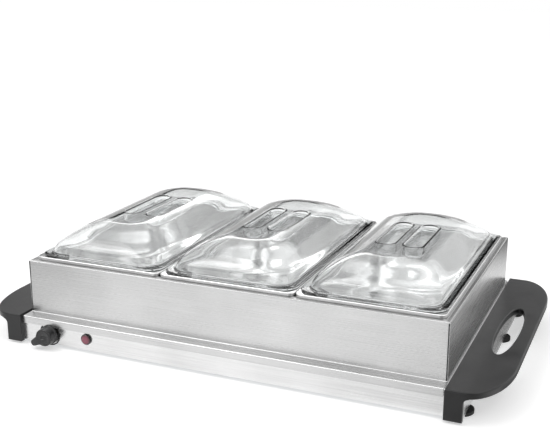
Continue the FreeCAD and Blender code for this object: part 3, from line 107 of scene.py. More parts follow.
def smooth_line(points, steps, flat_end=None):
    """A smooth curve through points: a cubic on each span, whose slope at a point is the weighted mean of the
    two chords that meet there.

    A span is as long as the root of the distance in its first two values. flat_end scales the slope at the
    end, value by value, so that zero makes it level."""
    points = np.asarray(points, float)
    spans = np.linalg.norm(np.diff(points[:, :2], axis=0), axis=1) ** 0.5
    chords = np.diff(points, axis=0) / spans[:, None]
    slopes = np.empty_like(points)
    slopes[0], slopes[-1] = chords[0], chords[-1]
    if flat_end is not None:
        slopes[-1] = chords[-1] * np.asarray(flat_end)
    weight = (spans[1:] / (spans[1:] + spans[:-1]))[:, None]
    slopes[1:-1] = weight * chords[:-1] + (1 - weight) * chords[1:]
    t = np.linspace(0, 1, steps + 1)[:-1, None]
    pieces = []
    for span, start, end, out, into in zip(spans, points, points[1:], slopes, slopes[1:]):
        pieces.append(
            (2 * t**3 - 3 * t**2 + 1) * start
            + (t**3 - 2 * t**2 + t) * span * out
            + (3 * t**2 - 2 * t**3) * end
            + (t**3 - t**2) * span * into
        )
    return np.concatenate(pieces + [points[-1:]])


def outline(width, length, radius, arc=10, side=6, half=False):
    """Rectangles with round corners, clockwise from the top middle, a row for each width, length and radius.

    Each row has the same number of points: equal angles round the corners, equal steps along the sides. With
    half, a row stops at the bottom middle."""
    sizes = (width, length, radius)
    width, length, radius = (np.atleast_1d(np.asarray(size, float))[:, None] for size in sizes)
    a, b = width / 2, length / 2
    turn = np.linspace(0, math.pi / 2, arc + 1)[None, :]
    step = np.linspace(0, 1, side + 1)[None, 1:-1]
    up_x, up_y = a - radius + radius * np.sin(turn), b - radius + radius * np.cos(turn)
    top_x, top_y = np.linspace(0, 1, side)[None, :-1] * (a - radius), b + 0 * step[:, :1]
    top_y = np.broadcast_to(top_y, (len(a), side - 1))
    drop = np.linspace(1, -1, 4 * side + 1)[None, 1:-1] * (b - radius)
    right_x = np.concatenate([top_x, up_x, np.broadcast_to(a, drop.shape), up_x[:, ::-1], top_x[:, ::-1]], 1)
    right_y = np.concatenate([top_y, up_y, drop, -up_y[:, ::-1], -top_y[:, ::-1]], 1)
    right = np.stack([right_x, right_y], -1)
    if half:
        return right
    left = right[:, -2:0:-1] * np.array([-1, 1])
    return np.concatenate([right, left], 1)


def turned(profile, segments=48):
    """A profile of (radius, height) spun about the Z axis, as points and faces."""
    profile = np.asarray(profile, float)
    angle = np.linspace(0, 2 * math.pi, segments, endpoint=False)[None, :]
    radius, height = profile[:, :1], profile[:, 1:]
    points = np.stack([radius * np.cos(angle), radius * np.sin(angle), height + 0 * angle], -1)
    return points.reshape(-1, 3), quads(len(profile), segments)


def facing_front(points, x, z, back=SKIRT_FACE):
    """Turns a shape made along +Z to face out of the front, from y = back, with its axis at x and z."""
    return np.stack([x + points[:, 0], back - points[:, 2], z + points[:, 1]], -1)


def together(*shapes):
    """Several sets of points and faces as one."""
    points, faces, start = [], [], 0
    for some, corners in shapes:
        points.append(some)
        faces += [np.asarray(corner) + start for corner in corners]
        start += len(some)
    return np.concatenate(points), faces


def piece(name, shape, finish, body, stands_for=(), crease=35):
    """A finished mesh piece from points in millimetres and faces, welded, with its normals outward.

    Edges that turn by more than crease degrees stay sharp, and all others are shaded smooth."""
    points, faces = shape
    mesh = bpy.data.meshes.new(name)
    mesh.from_pydata((np.asarray(points) * MM).tolist(), [], [tuple(int(v) for v in face) for face in faces])
    work = bmesh.new()
    work.from_mesh(mesh)
    bmesh.ops.remove_doubles(work, verts=work.verts, dist=0.002 * MM)
    bmesh.ops.recalc_face_normals(work, faces=work.faces)
    work.to_mesh(mesh)
    work.free()
    mesh.shade_smooth()
    mesh.set_sharp_from_angle(angle=math.radians(crease))
    mesh.materials.append(finish)
    made = bpy.data.objects.new(name, mesh)
    bpy.context.scene.collection.objects.link(made)
    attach(made, body)
    if stands_for:
        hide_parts(*stands_for)
    return made


# Finishes -----------------------------------------------------------------------------------------

# Nearly all values of a noise lie between these two.
NOISE_SPREAD = {"From Min": 0.3, "From Max": 0.7}
POLYCARBONATE_IOR = 1.585


def start_finish(name):
    """An empty material: its node tree and the piece's own Object coordinates."""
    material = bpy.data.materials.new(name)
    material.use_nodes = True
    tree = material.node_tree
    tree.nodes.clear()
    return material, tree, add(tree, "ShaderNodeTexCoord").outputs["Object"]


def end_finish(tree, shader):
    """Makes a shader the material's surface."""
    output = add(tree, "ShaderNodeOutputMaterial")
    tree.links.new(shader, output.inputs["Surface"])


def grain(tree, place, size, detail=2.0):
    """Noise whose spots are about size metres along X, Y and Z."""
    spread = add(tree, "ShaderNodeMapping", {"Vector": place, "Scale": tuple(1 / length for length in size)})
    noise = add(tree, "ShaderNodeTexNoise", {"Vector": spread.outputs[0], "Scale": 1.0, "Detail": detail})
    return noise.outputs["Fac"]


def ground_steel(name, long, across, dark, light, rough, inside=None):
    """Stainless sheet with a satin ground finish: fine parallel scratches spread a highlight across them.

    The scratches of a 180 grit belt are 0.1 mm wide, too fine to show, so they are drawn 0.8 mm wide. Where
    inside is given, as (axis, distance, height, dark, light), the sheet's inner side, nearer the middle along
    that axis and under that height, takes its own two darker colours, which are painted shade."""
    material, tree, place = start_finish(name)
    size = tuple(0.12 if axis == long else 0.0008 if axis == across else 0.0016 for axis in "xyz")
    lines = grain(tree, place, size)
    clouds = grain(tree, place, (0.09, 0.09, 0.09))
    both = add(tree, "ShaderNodeMath", {0: lines, 1: clouds}, operation="ADD").outputs[0]
    shade = add(tree, "ShaderNodeMapRange", {"Value": both, "From Min": 0.7, "From Max": 1.3}).outputs[0]
    colours = {0: shade, 6: linear(dark), 7: linear(light)}
    colour = add(tree, "ShaderNodeMix", colours, data_type="RGBA").outputs[2]
    span = {"Value": lines, "To Min": rough - 0.03, "To Max": rough + 0.03} | NOISE_SPREAD
    roughness = add(tree, "ShaderNodeMapRange", span).outputs[0]
    if inside:
        # Painted shade: the inner side's colour is swapped for two darker ones; its roughness stays the same.
        axis, distance, height, shade_dark, shade_light = inside
        part = add(tree, "ShaderNodeSeparateXYZ", {"Vector": place}).outputs
        from_middle = add(tree, "ShaderNodeMath", {0: part[axis]}, operation="ABSOLUTE").outputs[0]
        within = add(tree, "ShaderNodeMath", {0: from_middle, 1: distance}, operation="LESS_THAN").outputs[0]
        under = add(tree, "ShaderNodeMath", {0: part["Z"], 1: height}, operation="LESS_THAN").outputs[0]
        inner = add(tree, "ShaderNodeMath", {0: within, 1: under}, operation="MULTIPLY").outputs[0]
        shade_patches = add(tree, "ShaderNodeMapRange", {"Value": clouds} | NOISE_SPREAD).outputs[0]
        inside_shade_colours = {0: shade_patches, 6: linear(shade_dark), 7: linear(shade_light)}
        inside_shade = add(tree, "ShaderNodeMix", inside_shade_colours, data_type="RGBA").outputs[2]
        colour = add(tree, "ShaderNodeMix", {0: inner, 6: colour, 7: inside_shade}, data_type="RGBA").outputs[2]
    relief = add(tree, "ShaderNodeBump", {"Height": lines, "Strength": 0.012, "Distance": 0.001})
    steel = add(
        tree,
        "ShaderNodeBsdfPrincipled",
        {"Base Color": colour, "Metallic": 1.0, "Roughness": roughness, "Normal": relief.outputs[0]},
    )
    end_finish(tree, steel.outputs[0])
    return material


def drawn_steel(name):
    """Bright stainless, deep drawn, with faint upright bands of painted reflection in its colour; the walls
    are a little wavy.

    The painted bands are about 30 mm wide and run down the walls; fine polish lines are drawn 1 mm wide. The
    waves die out from 4 to 1 mm under the rim's top, because the rim is stiff. The inside, where the
    attribute polish is one, is buffed brighter than the satin outside."""
    material, tree, place = start_finish(name)
    # Painted reflection: upright bands that make the colour lighter and darker.
    painted_bands = grain(tree, place, (0.03, 0.03, 0.3), 1.0)
    polish = grain(tree, place, (0.0012, 0.0012, 0.03))
    waves = grain(tree, place, (0.05, 0.05, 0.3), 0.0)
    shade = add(tree, "ShaderNodeMapRange", {"Value": painted_bands} | NOISE_SPREAD).outputs[0]
    satin_colours = {0: shade, 6: linear("#c0c0c0"), 7: linear("#d2d2d2")}
    satin = add(tree, "ShaderNodeMix", satin_colours, data_type="RGBA").outputs[2]
    buffed_colours = {0: shade, 6: linear("#e4e4e4"), 7: linear("#eeeeee")}
    buffed = add(tree, "ShaderNodeMix", buffed_colours, data_type="RGBA").outputs[2]
    inner = add(tree, "ShaderNodeAttribute", attribute_name="polish").outputs["Fac"]
    colour = add(tree, "ShaderNodeMix", {0: inner, 6: satin, 7: buffed}, data_type="RGBA").outputs[2]
    span = {"Value": polish, "To Min": 0.28, "To Max": 0.36} | NOISE_SPREAD
    brushed = add(tree, "ShaderNodeMapRange", span).outputs[0]
    finer = {0: inner, 1: -0.13, 2: brushed}
    roughness = add(tree, "ShaderNodeMath", finer, operation="MULTIPLY_ADD").outputs[0]
    height = add(tree, "ShaderNodeSeparateXYZ", {"Vector": place}).outputs["Z"]
    near_rim = {"Value": height, "From Min": 0.1055, "From Max": 0.1085, "To Min": 0.6, "To Max": 0.02}
    stiff = add(tree, "ShaderNodeMapRange", near_rim).outputs[0]
    broad = add(tree, "ShaderNodeBump", {"Height": waves, "Strength": stiff, "Distance": 0.004})
    relief = add(
        tree,
        "ShaderNodeBump",
        {"Height": polish, "Strength": 0.012, "Distance": 0.001, "Normal": broad.outputs[0]},
    )
    steel = add(
        tree,
        "ShaderNodeBsdfPrincipled",
        {"Base Color": colour, "Metallic": 1.0, "Roughness": roughness, "Normal": relief.outputs[0]},
    )
    end_finish(tree, steel.outputs[0])
    return material


def moulded(name, dark, light, rough, spot=0.0007, relief_depth=0.12):
    """A moulded plastic or rubber: one colour, with the fine spark-eroded texture of its mould.

    The real texture is 0.1 to 0.2 mm, too fine to show, and is drawn by default 0.7 mm wide."""
    material, tree, place = start_finish(name)
    texture = grain(tree, place, (spot, spot, spot), 1.0)
    wear = grain(tree, place, (0.03, 0.03, 0.03), 3.0)
    shade = add(tree, "ShaderNodeMapRange", {"Value": wear} | NOISE_SPREAD).outputs[0]
    colours = {0: shade, 6: linear(dark), 7: linear(light)}
    colour = add(tree, "ShaderNodeMix", colours, data_type="RGBA").outputs[2]
    span = {"Value": wear, "To Min": rough - 0.04, "To Max": rough + 0.06} | NOISE_SPREAD
    roughness = add(tree, "ShaderNodeMapRange", span).outputs[0]
    bumps = add(tree, "ShaderNodeBump", {"Height": texture, "Strength": relief_depth, "Distance": 0.0005})
    inputs = {"Base Color": colour, "Roughness": roughness, "Normal": bumps.outputs[0]}
    end_finish(tree, add(tree, "ShaderNodeBsdfPrincipled", inputs).outputs[0])
    return material


def plain_metal(name, dark, light, rough, spot=0.004):
    """Plated, rolled or stamped metal: an even shine with cloudy patches about spot metres wide."""
    material, tree, place = start_finish(name)
    patches = grain(tree, place, (spot, spot, spot), 3.0)
    shade = add(tree, "ShaderNodeMapRange", {"Value": patches} | NOISE_SPREAD).outputs[0]
    colours = {0: shade, 6: linear(dark), 7: linear(light)}
    colour = add(tree, "ShaderNodeMix", colours, data_type="RGBA").outputs[2]
    span = {"Value": patches, "To Min": rough - 0.06, "To Max": rough + 0.06} | NOISE_SPREAD
    roughness = add(tree, "ShaderNodeMapRange", span).outputs[0]
    inputs = {"Base Color": colour, "Metallic": 1.0, "Roughness": roughness}
    end_finish(tree, add(tree, "ShaderNodeBsdfPrincipled", inputs).outputs[0])
    return material


def lens_plastic(name, centre, lit_crown, rim):
    """Red moulded polycarbonate with a polished face: its rim is darkened by painted shade and its crown
    brightened by painted light.

    The colour goes from crown to rim between 3.6 and 6 mm from the lens's axis, which runs along Y through
    the centre. The fine facets inside such a lens are about 1 mm wide."""
    material, tree, place = start_finish(name)
    apart = add(tree, "ShaderNodeVectorMath", {0: place, 1: centre}, operation="SUBTRACT").outputs[0]
    flat = add(tree, "ShaderNodeVectorMath", {0: apart, 1: (1.0, 0.0, 1.0)}, operation="MULTIPLY").outputs[0]
    away = add(tree, "ShaderNodeVectorMath", {0: flat}, operation="LENGTH").outputs["Value"]
    # Painted light on the crown and painted shade on the rim, by distance from the lens's axis.
    span = {"Value": away, "From Min": 0.0036, "From Max": 0.006}
    shade = add(tree, "ShaderNodeMapRange", span, interpolation_type="SMOOTHSTEP").outputs[0]
    colours = {0: shade, 6: linear(lit_crown), 7: linear(rim)}
    colour = add(tree, "ShaderNodeMix", colours, data_type="RGBA").outputs[2]
    facets = grain(tree, place, (0.001, 0.001, 0.001), 0.0)
    relief = add(tree, "ShaderNodeBump", {"Height": facets, "Strength": 0.25, "Distance": 0.0005})
    inputs = {"Base Color": colour, "Roughness": 0.12, "IOR": POLYCARBONATE_IOR}
    inputs |= {"Coat Weight": 0.6, "Coat Roughness": 0.05, "Normal": relief.outputs[0]}
    end_finish(tree, add(tree, "ShaderNodeBsdfPrincipled", inputs).outputs[0])
    return material


def clear_plastic(name, colour, rough):
    """Clear moulded polycarbonate: it bends light at its edges, and lamps shine through it.

    The flow of the melt leaves waves about 60 mm long and 30 mm wide."""
    material, tree, place = start_finish(name)
    flow = grain(tree, place, (0.06, 0.03, 0.03), 0.0)
    relief = add(tree, "ShaderNodeBump", {"Height": flow, "Strength": 0.03, "Distance": 0.002})
    inputs = {"Base Color": linear(colour), "Roughness": rough, "IOR": POLYCARBONATE_IOR}
    inputs |= {"Transmission Weight": 1.0, "Normal": relief.outputs[0]}
    body = add(tree, "ShaderNodeBsdfPrincipled", inputs)
    through = add(tree, "ShaderNodeBsdfTransparent", {"Color": linear("#f4f6f6")})
    rays = add(tree, "ShaderNodeLightPath")
    parts = {0: rays.outputs["Is Shadow Ray"], 1: body.outputs[0], 2: through.outputs[0]}
    end_finish(tree, add(tree, "ShaderNodeMixShader", parts).outputs[0])
    return material


# Hot plate sheet, ground along its length: highlights smear across the grain, from front to back.
plate_steel = ground_steel("ground_stainless_plate", "x", "y", "#d2d2d2", "#e6e6e6", 0.25)

# Frame sheet, ground along each panel; its inner side is painted dark with painted shade.
half_sheet = FRAME_SHEET / 2
under_top = (FRAME_TOP - half_sheet) * MM
# Painted shade on the inner sides, darker on the short end panels than on the long ones.
long_inside_shade = ("Y", (FRAME_SIDE - half_sheet) * MM, under_top, "#4b4c4d", "#5e5f60")
short_inside_shade = ("X", (FRAME_END - half_sheet) * MM, under_top, "#2c2d2e", "#3b3c3d")
frame_long = ground_steel("ground_stainless_frame_long", "x", "z", "#c0c0c0", "#d2d2d2", 0.28, long_inside_shade)
frame_short = ground_steel("ground_stainless_frame_short", "y", "z", "#c0c0c0", "#d2d2d2", 0.28, short_inside_shade)

# Deep drawn pans: bright inside, satin outside, with soft upright bands of painted reflection.
pan_steel = drawn_steel("drawn_stainless")

# Zinc plated screws, studs and clips: bluish grey, a little cloudy.
zinc = plain_metal("zinc_plated_steel", "#a9adb0", "#c9cdd0", 0.35)

# Rolled stainless brackets, left as they come from the mill: dull and dark.
mill_steel = plain_metal("mill_finish_stainless", "#545556", "#68696a", 0.35, 0.01)

# Headed stainless rivets: small and bright.
rivet_steel = plain_metal("bright_stainless_rivet", "#c9c9c9", "#dadada", 0.25)

# Rolled aluminium sheet: pale, with a soft shine.
aluminium = plain_metal("rolled_aluminium", "#c4c6c8", "#d8dadc", 0.32, 0.01)

# Stamped and turned brass: warm yellow.
brass = plain_metal("stamped_brass", "#b8964e", "#cfae68", 0.3)

# Glass-filled PBT caps from a finely eroded mould: black with an even grey sheen.
cap_plastic = moulded("moulded_pbt_black", "#131314", "#19191a", 0.33, 0.0007, 0.05)

# ABS knob from a smoother mould: softer black, brighter edges.
knob_plastic = moulded("moulded_abs_black", "#242425", "#2d2d2e", 0.26, 0.0005, 0.04)

# Pressed nitrile rubber: matt and nearly black.
rubber = moulded("pressed_nitrile_rubber", "#1a1a1a", "#242423", 0.7)

# Phenolic thermostat body: dark brown with a hard low shine.
phenolic = moulded("moulded_phenolic", "#2c1a12", "#38231a", 0.35)

# Extruded silicone sheath of the heating cord: pale and satin.
silicone = moulded("extruded_silicone_rubber", "#c9c6bd", "#d8d5cc", 0.55)

# Needled glass-fibre mat: cream, matt and fleecy.
glass_mat = moulded("needled_glass_fibre", "#d9d4c4", "#ece8db", 0.9, 0.0015, 0.9)

# Undyed and ivory polyamide mouldings: milky, with a low sheen.
natural = moulded("moulded_natural_polyamide", "#dcd9cf", "#e8e5dc", 0.45)
ivory = moulded("moulded_ivory_polyamide", "#d6cfba", "#e2dbc8", 0.4)

# Braided and varnished glass sleeving on the wires: cream, with a fine rib.
sleeving = moulded("varnished_glass_sleeving", "#c9c8bf", "#dad9d0", 0.6, 0.0012, 0.4)

# Pad-printed ink: flat black.
ink = moulded("black_pad_print", "#151515", "#1b1b1b", 0.5)

# Injection-moulded polycarbonate, dyed red for the lamp and clear for the lids, polished like glass.
lamp_axis = (LAMP_AXIS_X * MM, 0.0, LAMP_AXIS_Z * MM)
# The lens's crown colour is painted light and its rim colour painted shade.
lamp_red = lens_plastic("moulded_red_polycarbonate", lamp_axis, "#8a2b48", "#4c1223")
lid_clear = clear_plastic("moulded_clear_polycarbonate", "#fbfcfc", 0.02)

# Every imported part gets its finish, also where a finer piece stands for it below.
CARRIED = {
    plate_steel: ["housing"],
    zinc: [
        "bottom_cover", "cover_screws", "foot_screws", "cap_screws", "plate_studs", "stud_nuts",
        "thermostat_bracket", "thermostat_spindle", "lamp_clip", "fuse_clip",
    ],
    mill_steel: ["bracket_left_front", "bracket_left_rear", "bracket_right_front", "bracket_right_rear"],
    rivet_steel: ["bracket_rivets"],
    cap_plastic: ["end_cap_left", "end_cap_right", "lamp_ring", "cord_gland"],
    rubber: ["rubber_feet"],
    aluminium: ["heat_spreader", "element_clamp", "thermal_fuse"],
    glass_mat: ["insulation_mat"],
    silicone: ["heating_cord"],
    brass: [
        "cord_splices", "thermostat_nut", "thermostat_tabs", "terminal_screws", "earth_stud", "earth_tag",
        "earth_nut",
    ],
    phenolic: ["thermostat_body"],
    ink: ["dial_ring"],
    ivory: ["lamp_body"],
    lamp_red: ["lamp_lens"],
    natural: ["terminal_block"],
    sleeving: ["internal_wires"],
    knob_plastic: ["knob"],
    frame_long: ["front_panel", "rear_panel"],
    frame_short: ["left_panel", "right_panel"],
    pan_steel: ["pan_left", "pan_middle", "pan_right"],
    lid_clear: ["lid_left", "lid_middle", "lid_right"],
}
for finish, names in CARRIED.items():
    for name in names:
        for slot in nodes[name].material_slots:
            slot.link = "OBJECT"
            slot.material = finish


# Food pans ----------------------------------------------------------------------------------------

PAN_WIDTH, PAN_LENGTH, PAN_DEPTH, PAN_SHEET = 176.0, 325.0, 65.0, 0.8
PAN_RIM, RIM_WIDTH, RIM_DROP = 109.6, 11.0, 4.0
SLOPE = math.tan(math.radians(2.0))

# Past BASE_INSET from the rim's edge, one flat face closes the base. The bends are the radii of the section's
# inner corners in its order, and PLAN_RADIUS gives, for four insets, the corner radius in plan.
BASE_INSET = 51.0
BENDS_OUTSIDE, BENDS_INSIDE = (0.5, 2.0, 21.0), (20.2, 2.8, 1.3)
PLAN_RADIUS = ((0.0, 1.3, 9.0, 52.9), (8.0, 6.7, 44.0, 0.1))


def pan_shape():
    """One drawn pan, its rim's top at height zero.

    Its section is a line of (inset from the rim's edge, height) with rounded corners, from the lip's foot
    over the rim's underside and the outside of the well to the middle, and back along the inside. Each point
    of it is carried round a rectangle with round corners, whose radius in plan follows from the inset."""
    outer, inner = RIM_WIDTH, RIM_WIDTH + PAN_SHEET
    foot = inner + (PAN_DEPTH - PAN_SHEET) * SLOPE
    corners = [
        (PAN_SHEET, -RIM_DROP),
        (PAN_SHEET, -PAN_SHEET),
        (outer, -PAN_SHEET),
        (outer + PAN_DEPTH * SLOPE, -PAN_DEPTH),
        (BASE_INSET, -PAN_DEPTH),
        (BASE_INSET, PAN_SHEET - PAN_DEPTH),
        (foot, PAN_SHEET - PAN_DEPTH),
        (inner, 0.0),
        (0.0, 0.0),
        (0.0, -RIM_DROP),
    ]
    outside = rounded_path(corners[:5], BENDS_OUTSIDE, 10)
    inside = rounded_path(corners[5:], BENDS_INSIDE, 10)
    shapes = []
    for line in (outside, inside):
        inset = line[:, 0]
        radius = np.interp(inset, *PLAN_RADIUS)
        rows = outline(PAN_WIDTH - 2 * inset, PAN_LENGTH - 2 * inset, radius, 14, 8)
        height = np.broadcast_to(line[:, 1][:, None, None], (*rows.shape[:2], 1))
        shapes.append((np.concatenate([rows, height], -1).reshape(-1, 3), rows.shape[1]))
    (under, columns), (over, _) = shapes
    grid = list(quads(len(outside), columns))
    back = quads(len(inside), columns) + len(under)
    lip = quads(2, columns) % columns
    low, high = np.arange(columns), len(under) + (len(inside) - 1) * columns + np.arange(columns)
    seam = [(low[a], low[b], high[b], high[a]) for a, b in lip[:, :2]]
    base = [(len(outside) - 1) * columns + np.arange(columns)[::-1], len(under) + np.arange(columns)]
    return np.concatenate([under, over]), grid + list(back) + seam + base


def mark_polish(pan):
    """Sets the attribute polish to one on the faces that look into the pan or up from its rim.

    A face looks in where its way out points up, or towards the pan's middle line."""
    mesh = pan.data
    middle, way = np.empty(3 * len(mesh.polygons)), np.empty(3 * len(mesh.polygons))
    mesh.polygons.foreach_get("center", middle)
    mesh.polygons.foreach_get("normal", way)
    middle, way = middle.reshape(-1, 3), way.reshape(-1, 3)
    across = middle - (middle.min(0) + middle.max(0)) / 2
    inward = np.sum(across[:, :2] * way[:, :2], 1) < -1e-6
    faces_in = (way[:, 2] > 0.5) | (inward & (middle[:, 2] < (PAN_RIM - 0.5 * PAN_SHEET) * MM))
    layer = mesh.attributes.new("polish", "FLOAT", "FACE")
    layer.data.foreach_set("value", faces_in.astype(np.float32))


pan_points, pan_faces = pan_shape()
for where, x in WHERE.items():
    shape = pan_points + np.array([x, 0.0, PAN_RIM]), pan_faces
    pan = piece(f"drawn_pan_{where}", shape, pan_steel, f"pan_{where}", [f"pan_{where}"], 50)
    mark_polish(pan)


# Lids ---------------------------------------------------------------------------------------------

LID_WIDTH, LID_LENGTH, LID_FOOT, LID_SHEET = 172.0, 321.0, 109.9, 2.0
GRIP_MIDDLE, GRIP_HALF, GRIP_RADIUS, GRIP_DEPTH, CROWN = 17.0, 39.0, 11.0, 16.0, 36.0

# The dome's section has STAGE_STEPS points a stage, and the crown with its well starts at stage HAUNCH. A
# well's long sides spread to the haunch within HAUNCH_REACH of the lid's middle, and to the lid's middle
# plane, which has SEAM_POINTS points, within SEAM_REACH.
STAGE_STEPS, HAUNCH, HAUNCH_REACH, SEAM_REACH, SEAM_POINTS = 16, 2, 92.0, 62.0, 60

# The rounding at a finger well's edge and the bend at its floor, outside and inside the lid.
WELL_OUTSIDE, WELL_INSIDE = (1.4, 3.0), (0.8, 5.0)


def dome_line(wall):
    """The dome's section of (inset, height, corner radius), smooth through five stages, level at the top.

    The wall's inside lies further in by its thickness, and from the third stage up also lower by it."""
    insets, corners = (8.0, 11.0, 25.0, 43.0, 64.0), (18.0, 24.0, 38.0, 36.0, 16.0)
    rises = (wall, 11.0, 24.0 - wall, 32.5 - wall, CROWN - wall)
    stages = [(inset + wall, rise, corner - wall / 2) for inset, rise, corner in zip(insets, rises, corners)]
    return smooth_line(stages, STAGE_STEPS, flat_end=(1, 0, 1))


def dome_height(x, y, line):
    """Height of the dome over points in plan: where on its section the rounded rectangle passes through each.

    The signed distance to a stage's outline grows along the section, so halving the range finds its zero."""
    stage = np.arange(len(line))
    low, high = np.zeros_like(x), np.full_like(x, len(line) - 1.0)
    for _ in range(30):
        middle = (low + high) / 2
        inset, radius = np.interp(middle, stage, line[:, 0]), np.interp(middle, stage, line[:, 2])
        over_x = np.abs(x) - (LID_WIDTH / 2 - inset - radius)
        over_y = np.abs(y) - (LID_LENGTH / 2 - inset - radius)
        past_corner = np.hypot(np.maximum(over_x, 0), np.maximum(over_y, 0))
        outside = past_corner + np.minimum(np.maximum(over_x, over_y), 0) > radius
        high, low = np.where(outside, middle, high), np.where(outside, low, middle)
    return np.interp(low, stage, line[:, 1])


def slot_ring(share, offset):
    """Points of a finger well's outline, grown by an offset.

    A share from 0 to 4 runs over its side, end, other side and other end, each one unit long."""
    radius = GRIP_RADIUS + offset
    leg, part = np.floor(share) % 4, share % 1
    turn = np.where(leg == 1, math.pi * (1 - part), -math.pi * part)
    side = np.where(leg == 0, -radius, radius)
    rise = np.where(leg == 0, 2 * part - 1, 1 - 2 * part) * GRIP_HALF
    end = np.where(leg == 1, GRIP_HALF, -GRIP_HALF)
    straight = (leg == 0) | (leg == 2)
    x = np.where(straight, side, radius * np.cos(turn))
    y = np.where(straight, rise, end + radius * np.sin(turn))
    return GRIP_MIDDLE + x, y


def crown_with_well(wall):
    """Half of the dome's top with its finger well: rings that spread from the well's floor to the haunch.

    Inside the well they are the slot's outline, over its edge a quarter round, and beyond it each point moves
    in a straight line, seen in plan, to its partner on the haunch or on the lid's middle plane. The partners'
    shares of the slot's outline are fixed at six anchors and run evenly between them."""
    line = dome_line(wall)
    inset, _, corner = line[HAUNCH * STAGE_STEPS]
    edge = outline(LID_WIDTH - 2 * inset, LID_LENGTH - 2 * inset, corner, half=True)[0]
    top = edge[0, 1]
    seam = np.stack([np.zeros(SEAM_POINTS), np.linspace(-top, top, SEAM_POINTS + 2)[1:-1]], -1)
    loop = np.concatenate([edge, seam])
    run = np.concatenate([[0], np.cumsum(np.linalg.norm(np.diff(loop, axis=0), axis=1))])
    right = np.flatnonzero((edge[:, 0] > edge[:, 0].max() - 0.01) & (np.abs(edge[:, 1]) < HAUNCH_REACH))
    low_seam = len(edge) + np.argmin(np.abs(seam[:, 1] + SEAM_REACH))
    high_seam = len(edge) + np.argmin(np.abs(seam[:, 1] - SEAM_REACH))
    back_at_start = run[-1] + 2 * top / (SEAM_POINTS + 2)
    anchors = (run[0], run[right[0]], run[right[-1]], run[low_seam], run[high_seam], back_at_start)
    share = np.interp(run, anchors, (1.4, 2.0, 3.0, 4.0, 5.0, 5.4))
    floor = CROWN - GRIP_DEPTH - wall
    lip, bend = WELL_OUTSIDE if wall == 0 else WELL_INSIDE
    rings = []

    def ring(offset, height):
        x, y = slot_ring(share, offset)
        rings.append(np.stack([x, y, height + 0 * x], -1))

    for part in (0.1, 0.4, 0.7):
        ring((GRIP_RADIUS + wall - bend) * part - GRIP_RADIUS, floor)
    for turn in np.linspace(0, math.pi / 2, 6):
        ring(wall - bend * (1 - math.sin(turn)), floor + bend * (1 - math.cos(turn)))
    x, y = slot_ring(share, wall + lip)
    edge_height = dome_height(x, y, line)
    for part in (0.35, 0.7):
        ring(wall, (floor + bend) * (1 - part) + (edge_height - lip) * part)
    for turn in np.linspace(0, math.pi / 2, 5):
        ring(wall + lip * (1 - math.cos(turn)), edge_height - lip * (1 - math.sin(turn)))
    for part in np.linspace(0, 1, 23)[1:] ** 1.3:
        px, py = x + (loop[:, 0] - x) * part, y + (loop[:, 1] - y) * part
        rings.append(np.stack([px, py, dome_height(px, py, line)], -1))
    columns = len(loop)
    points = np.concatenate(rings)
    return points, list(quads(len(rings), columns)) + [np.arange(columns)]


def lid_shape():
    """One clear lid, its flange's underside at height zero.

    The lower wall, flange and locating rim are half outlines carried along a closed section, whose points are
    (inset, height, corner radius). The crown with its well is joined on above, outside and inside, and the
    other half is the same shape mirrored."""
    outer, inner = dome_line(0.0), dome_line(LID_SHEET)
    rise = outer[: HAUNCH * STAGE_STEPS + 1][::-1]
    rise = rise[rise[:, 1] > LID_SHEET + 0.9]
    flange = [
        (8.2, LID_SHEET + 0.25, 18.0),
        (7.4, LID_SHEET, 18.0),
        (4.0, LID_SHEET, 19.0),
        (0.6, LID_SHEET, 19.4),
        (0.15, LID_SHEET - 0.2, 19.8),
        (0.0, LID_SHEET - 0.6, 20.0),
        (0.0, 0.6, 20.0),
        (0.15, 0.2, 19.8),
        (0.6, 0.0, 19.4),
        (6.0, 0.0, 30.0),
        (10.7, 0.0, 40.3),
        (11.0, -0.3, 40.0),
        (11.0, -2.6, 40.0),
        (11.4, -3.0, 39.6),
        (12.6, -3.0, 38.4),
        (13.0, -2.6, 38.0),
        (13.0, 1.6, 38.0),
        (12.6, 2.0, 37.0),
        (10.6, 2.0, 18.0),
    ]
    section = np.concatenate([rise, flange, inner[1 : HAUNCH * STAGE_STEPS + 1]])
    rows = outline(LID_WIDTH - 2 * section[:, 0], LID_LENGTH - 2 * section[:, 0], section[:, 2], half=True)
    height = np.broadcast_to(section[:, 1][:, None, None], (*rows.shape[:2], 1))
    wall = np.concatenate([rows, height], -1).reshape(-1, 3)
    rim = wall, quads(*rows.shape[:2], closed=False)
    half = together(rim, crown_with_well(0.0), crown_with_well(LID_SHEET))
    mirrored = (half[0] * np.array([-1, 1, 1]), half[1])
    return together(half, mirrored)


lid_points, lid_faces = lid_shape()
for where, x in WHERE.items():
    shape = lid_points + np.array([x, 0.0, LID_FOOT]), lid_faces
    piece(f"clear_lid_{where}", shape, lid_clear, f"lid_{where}", [f"lid_{where}"], 50)


# Pan frame ----------------------------------------------------------------------------------------

FLANGE, LEDGE, LIP_FOOT, REVEAL, FOLD = 10.5, 18.6, 27.5, 1.9, 1.2


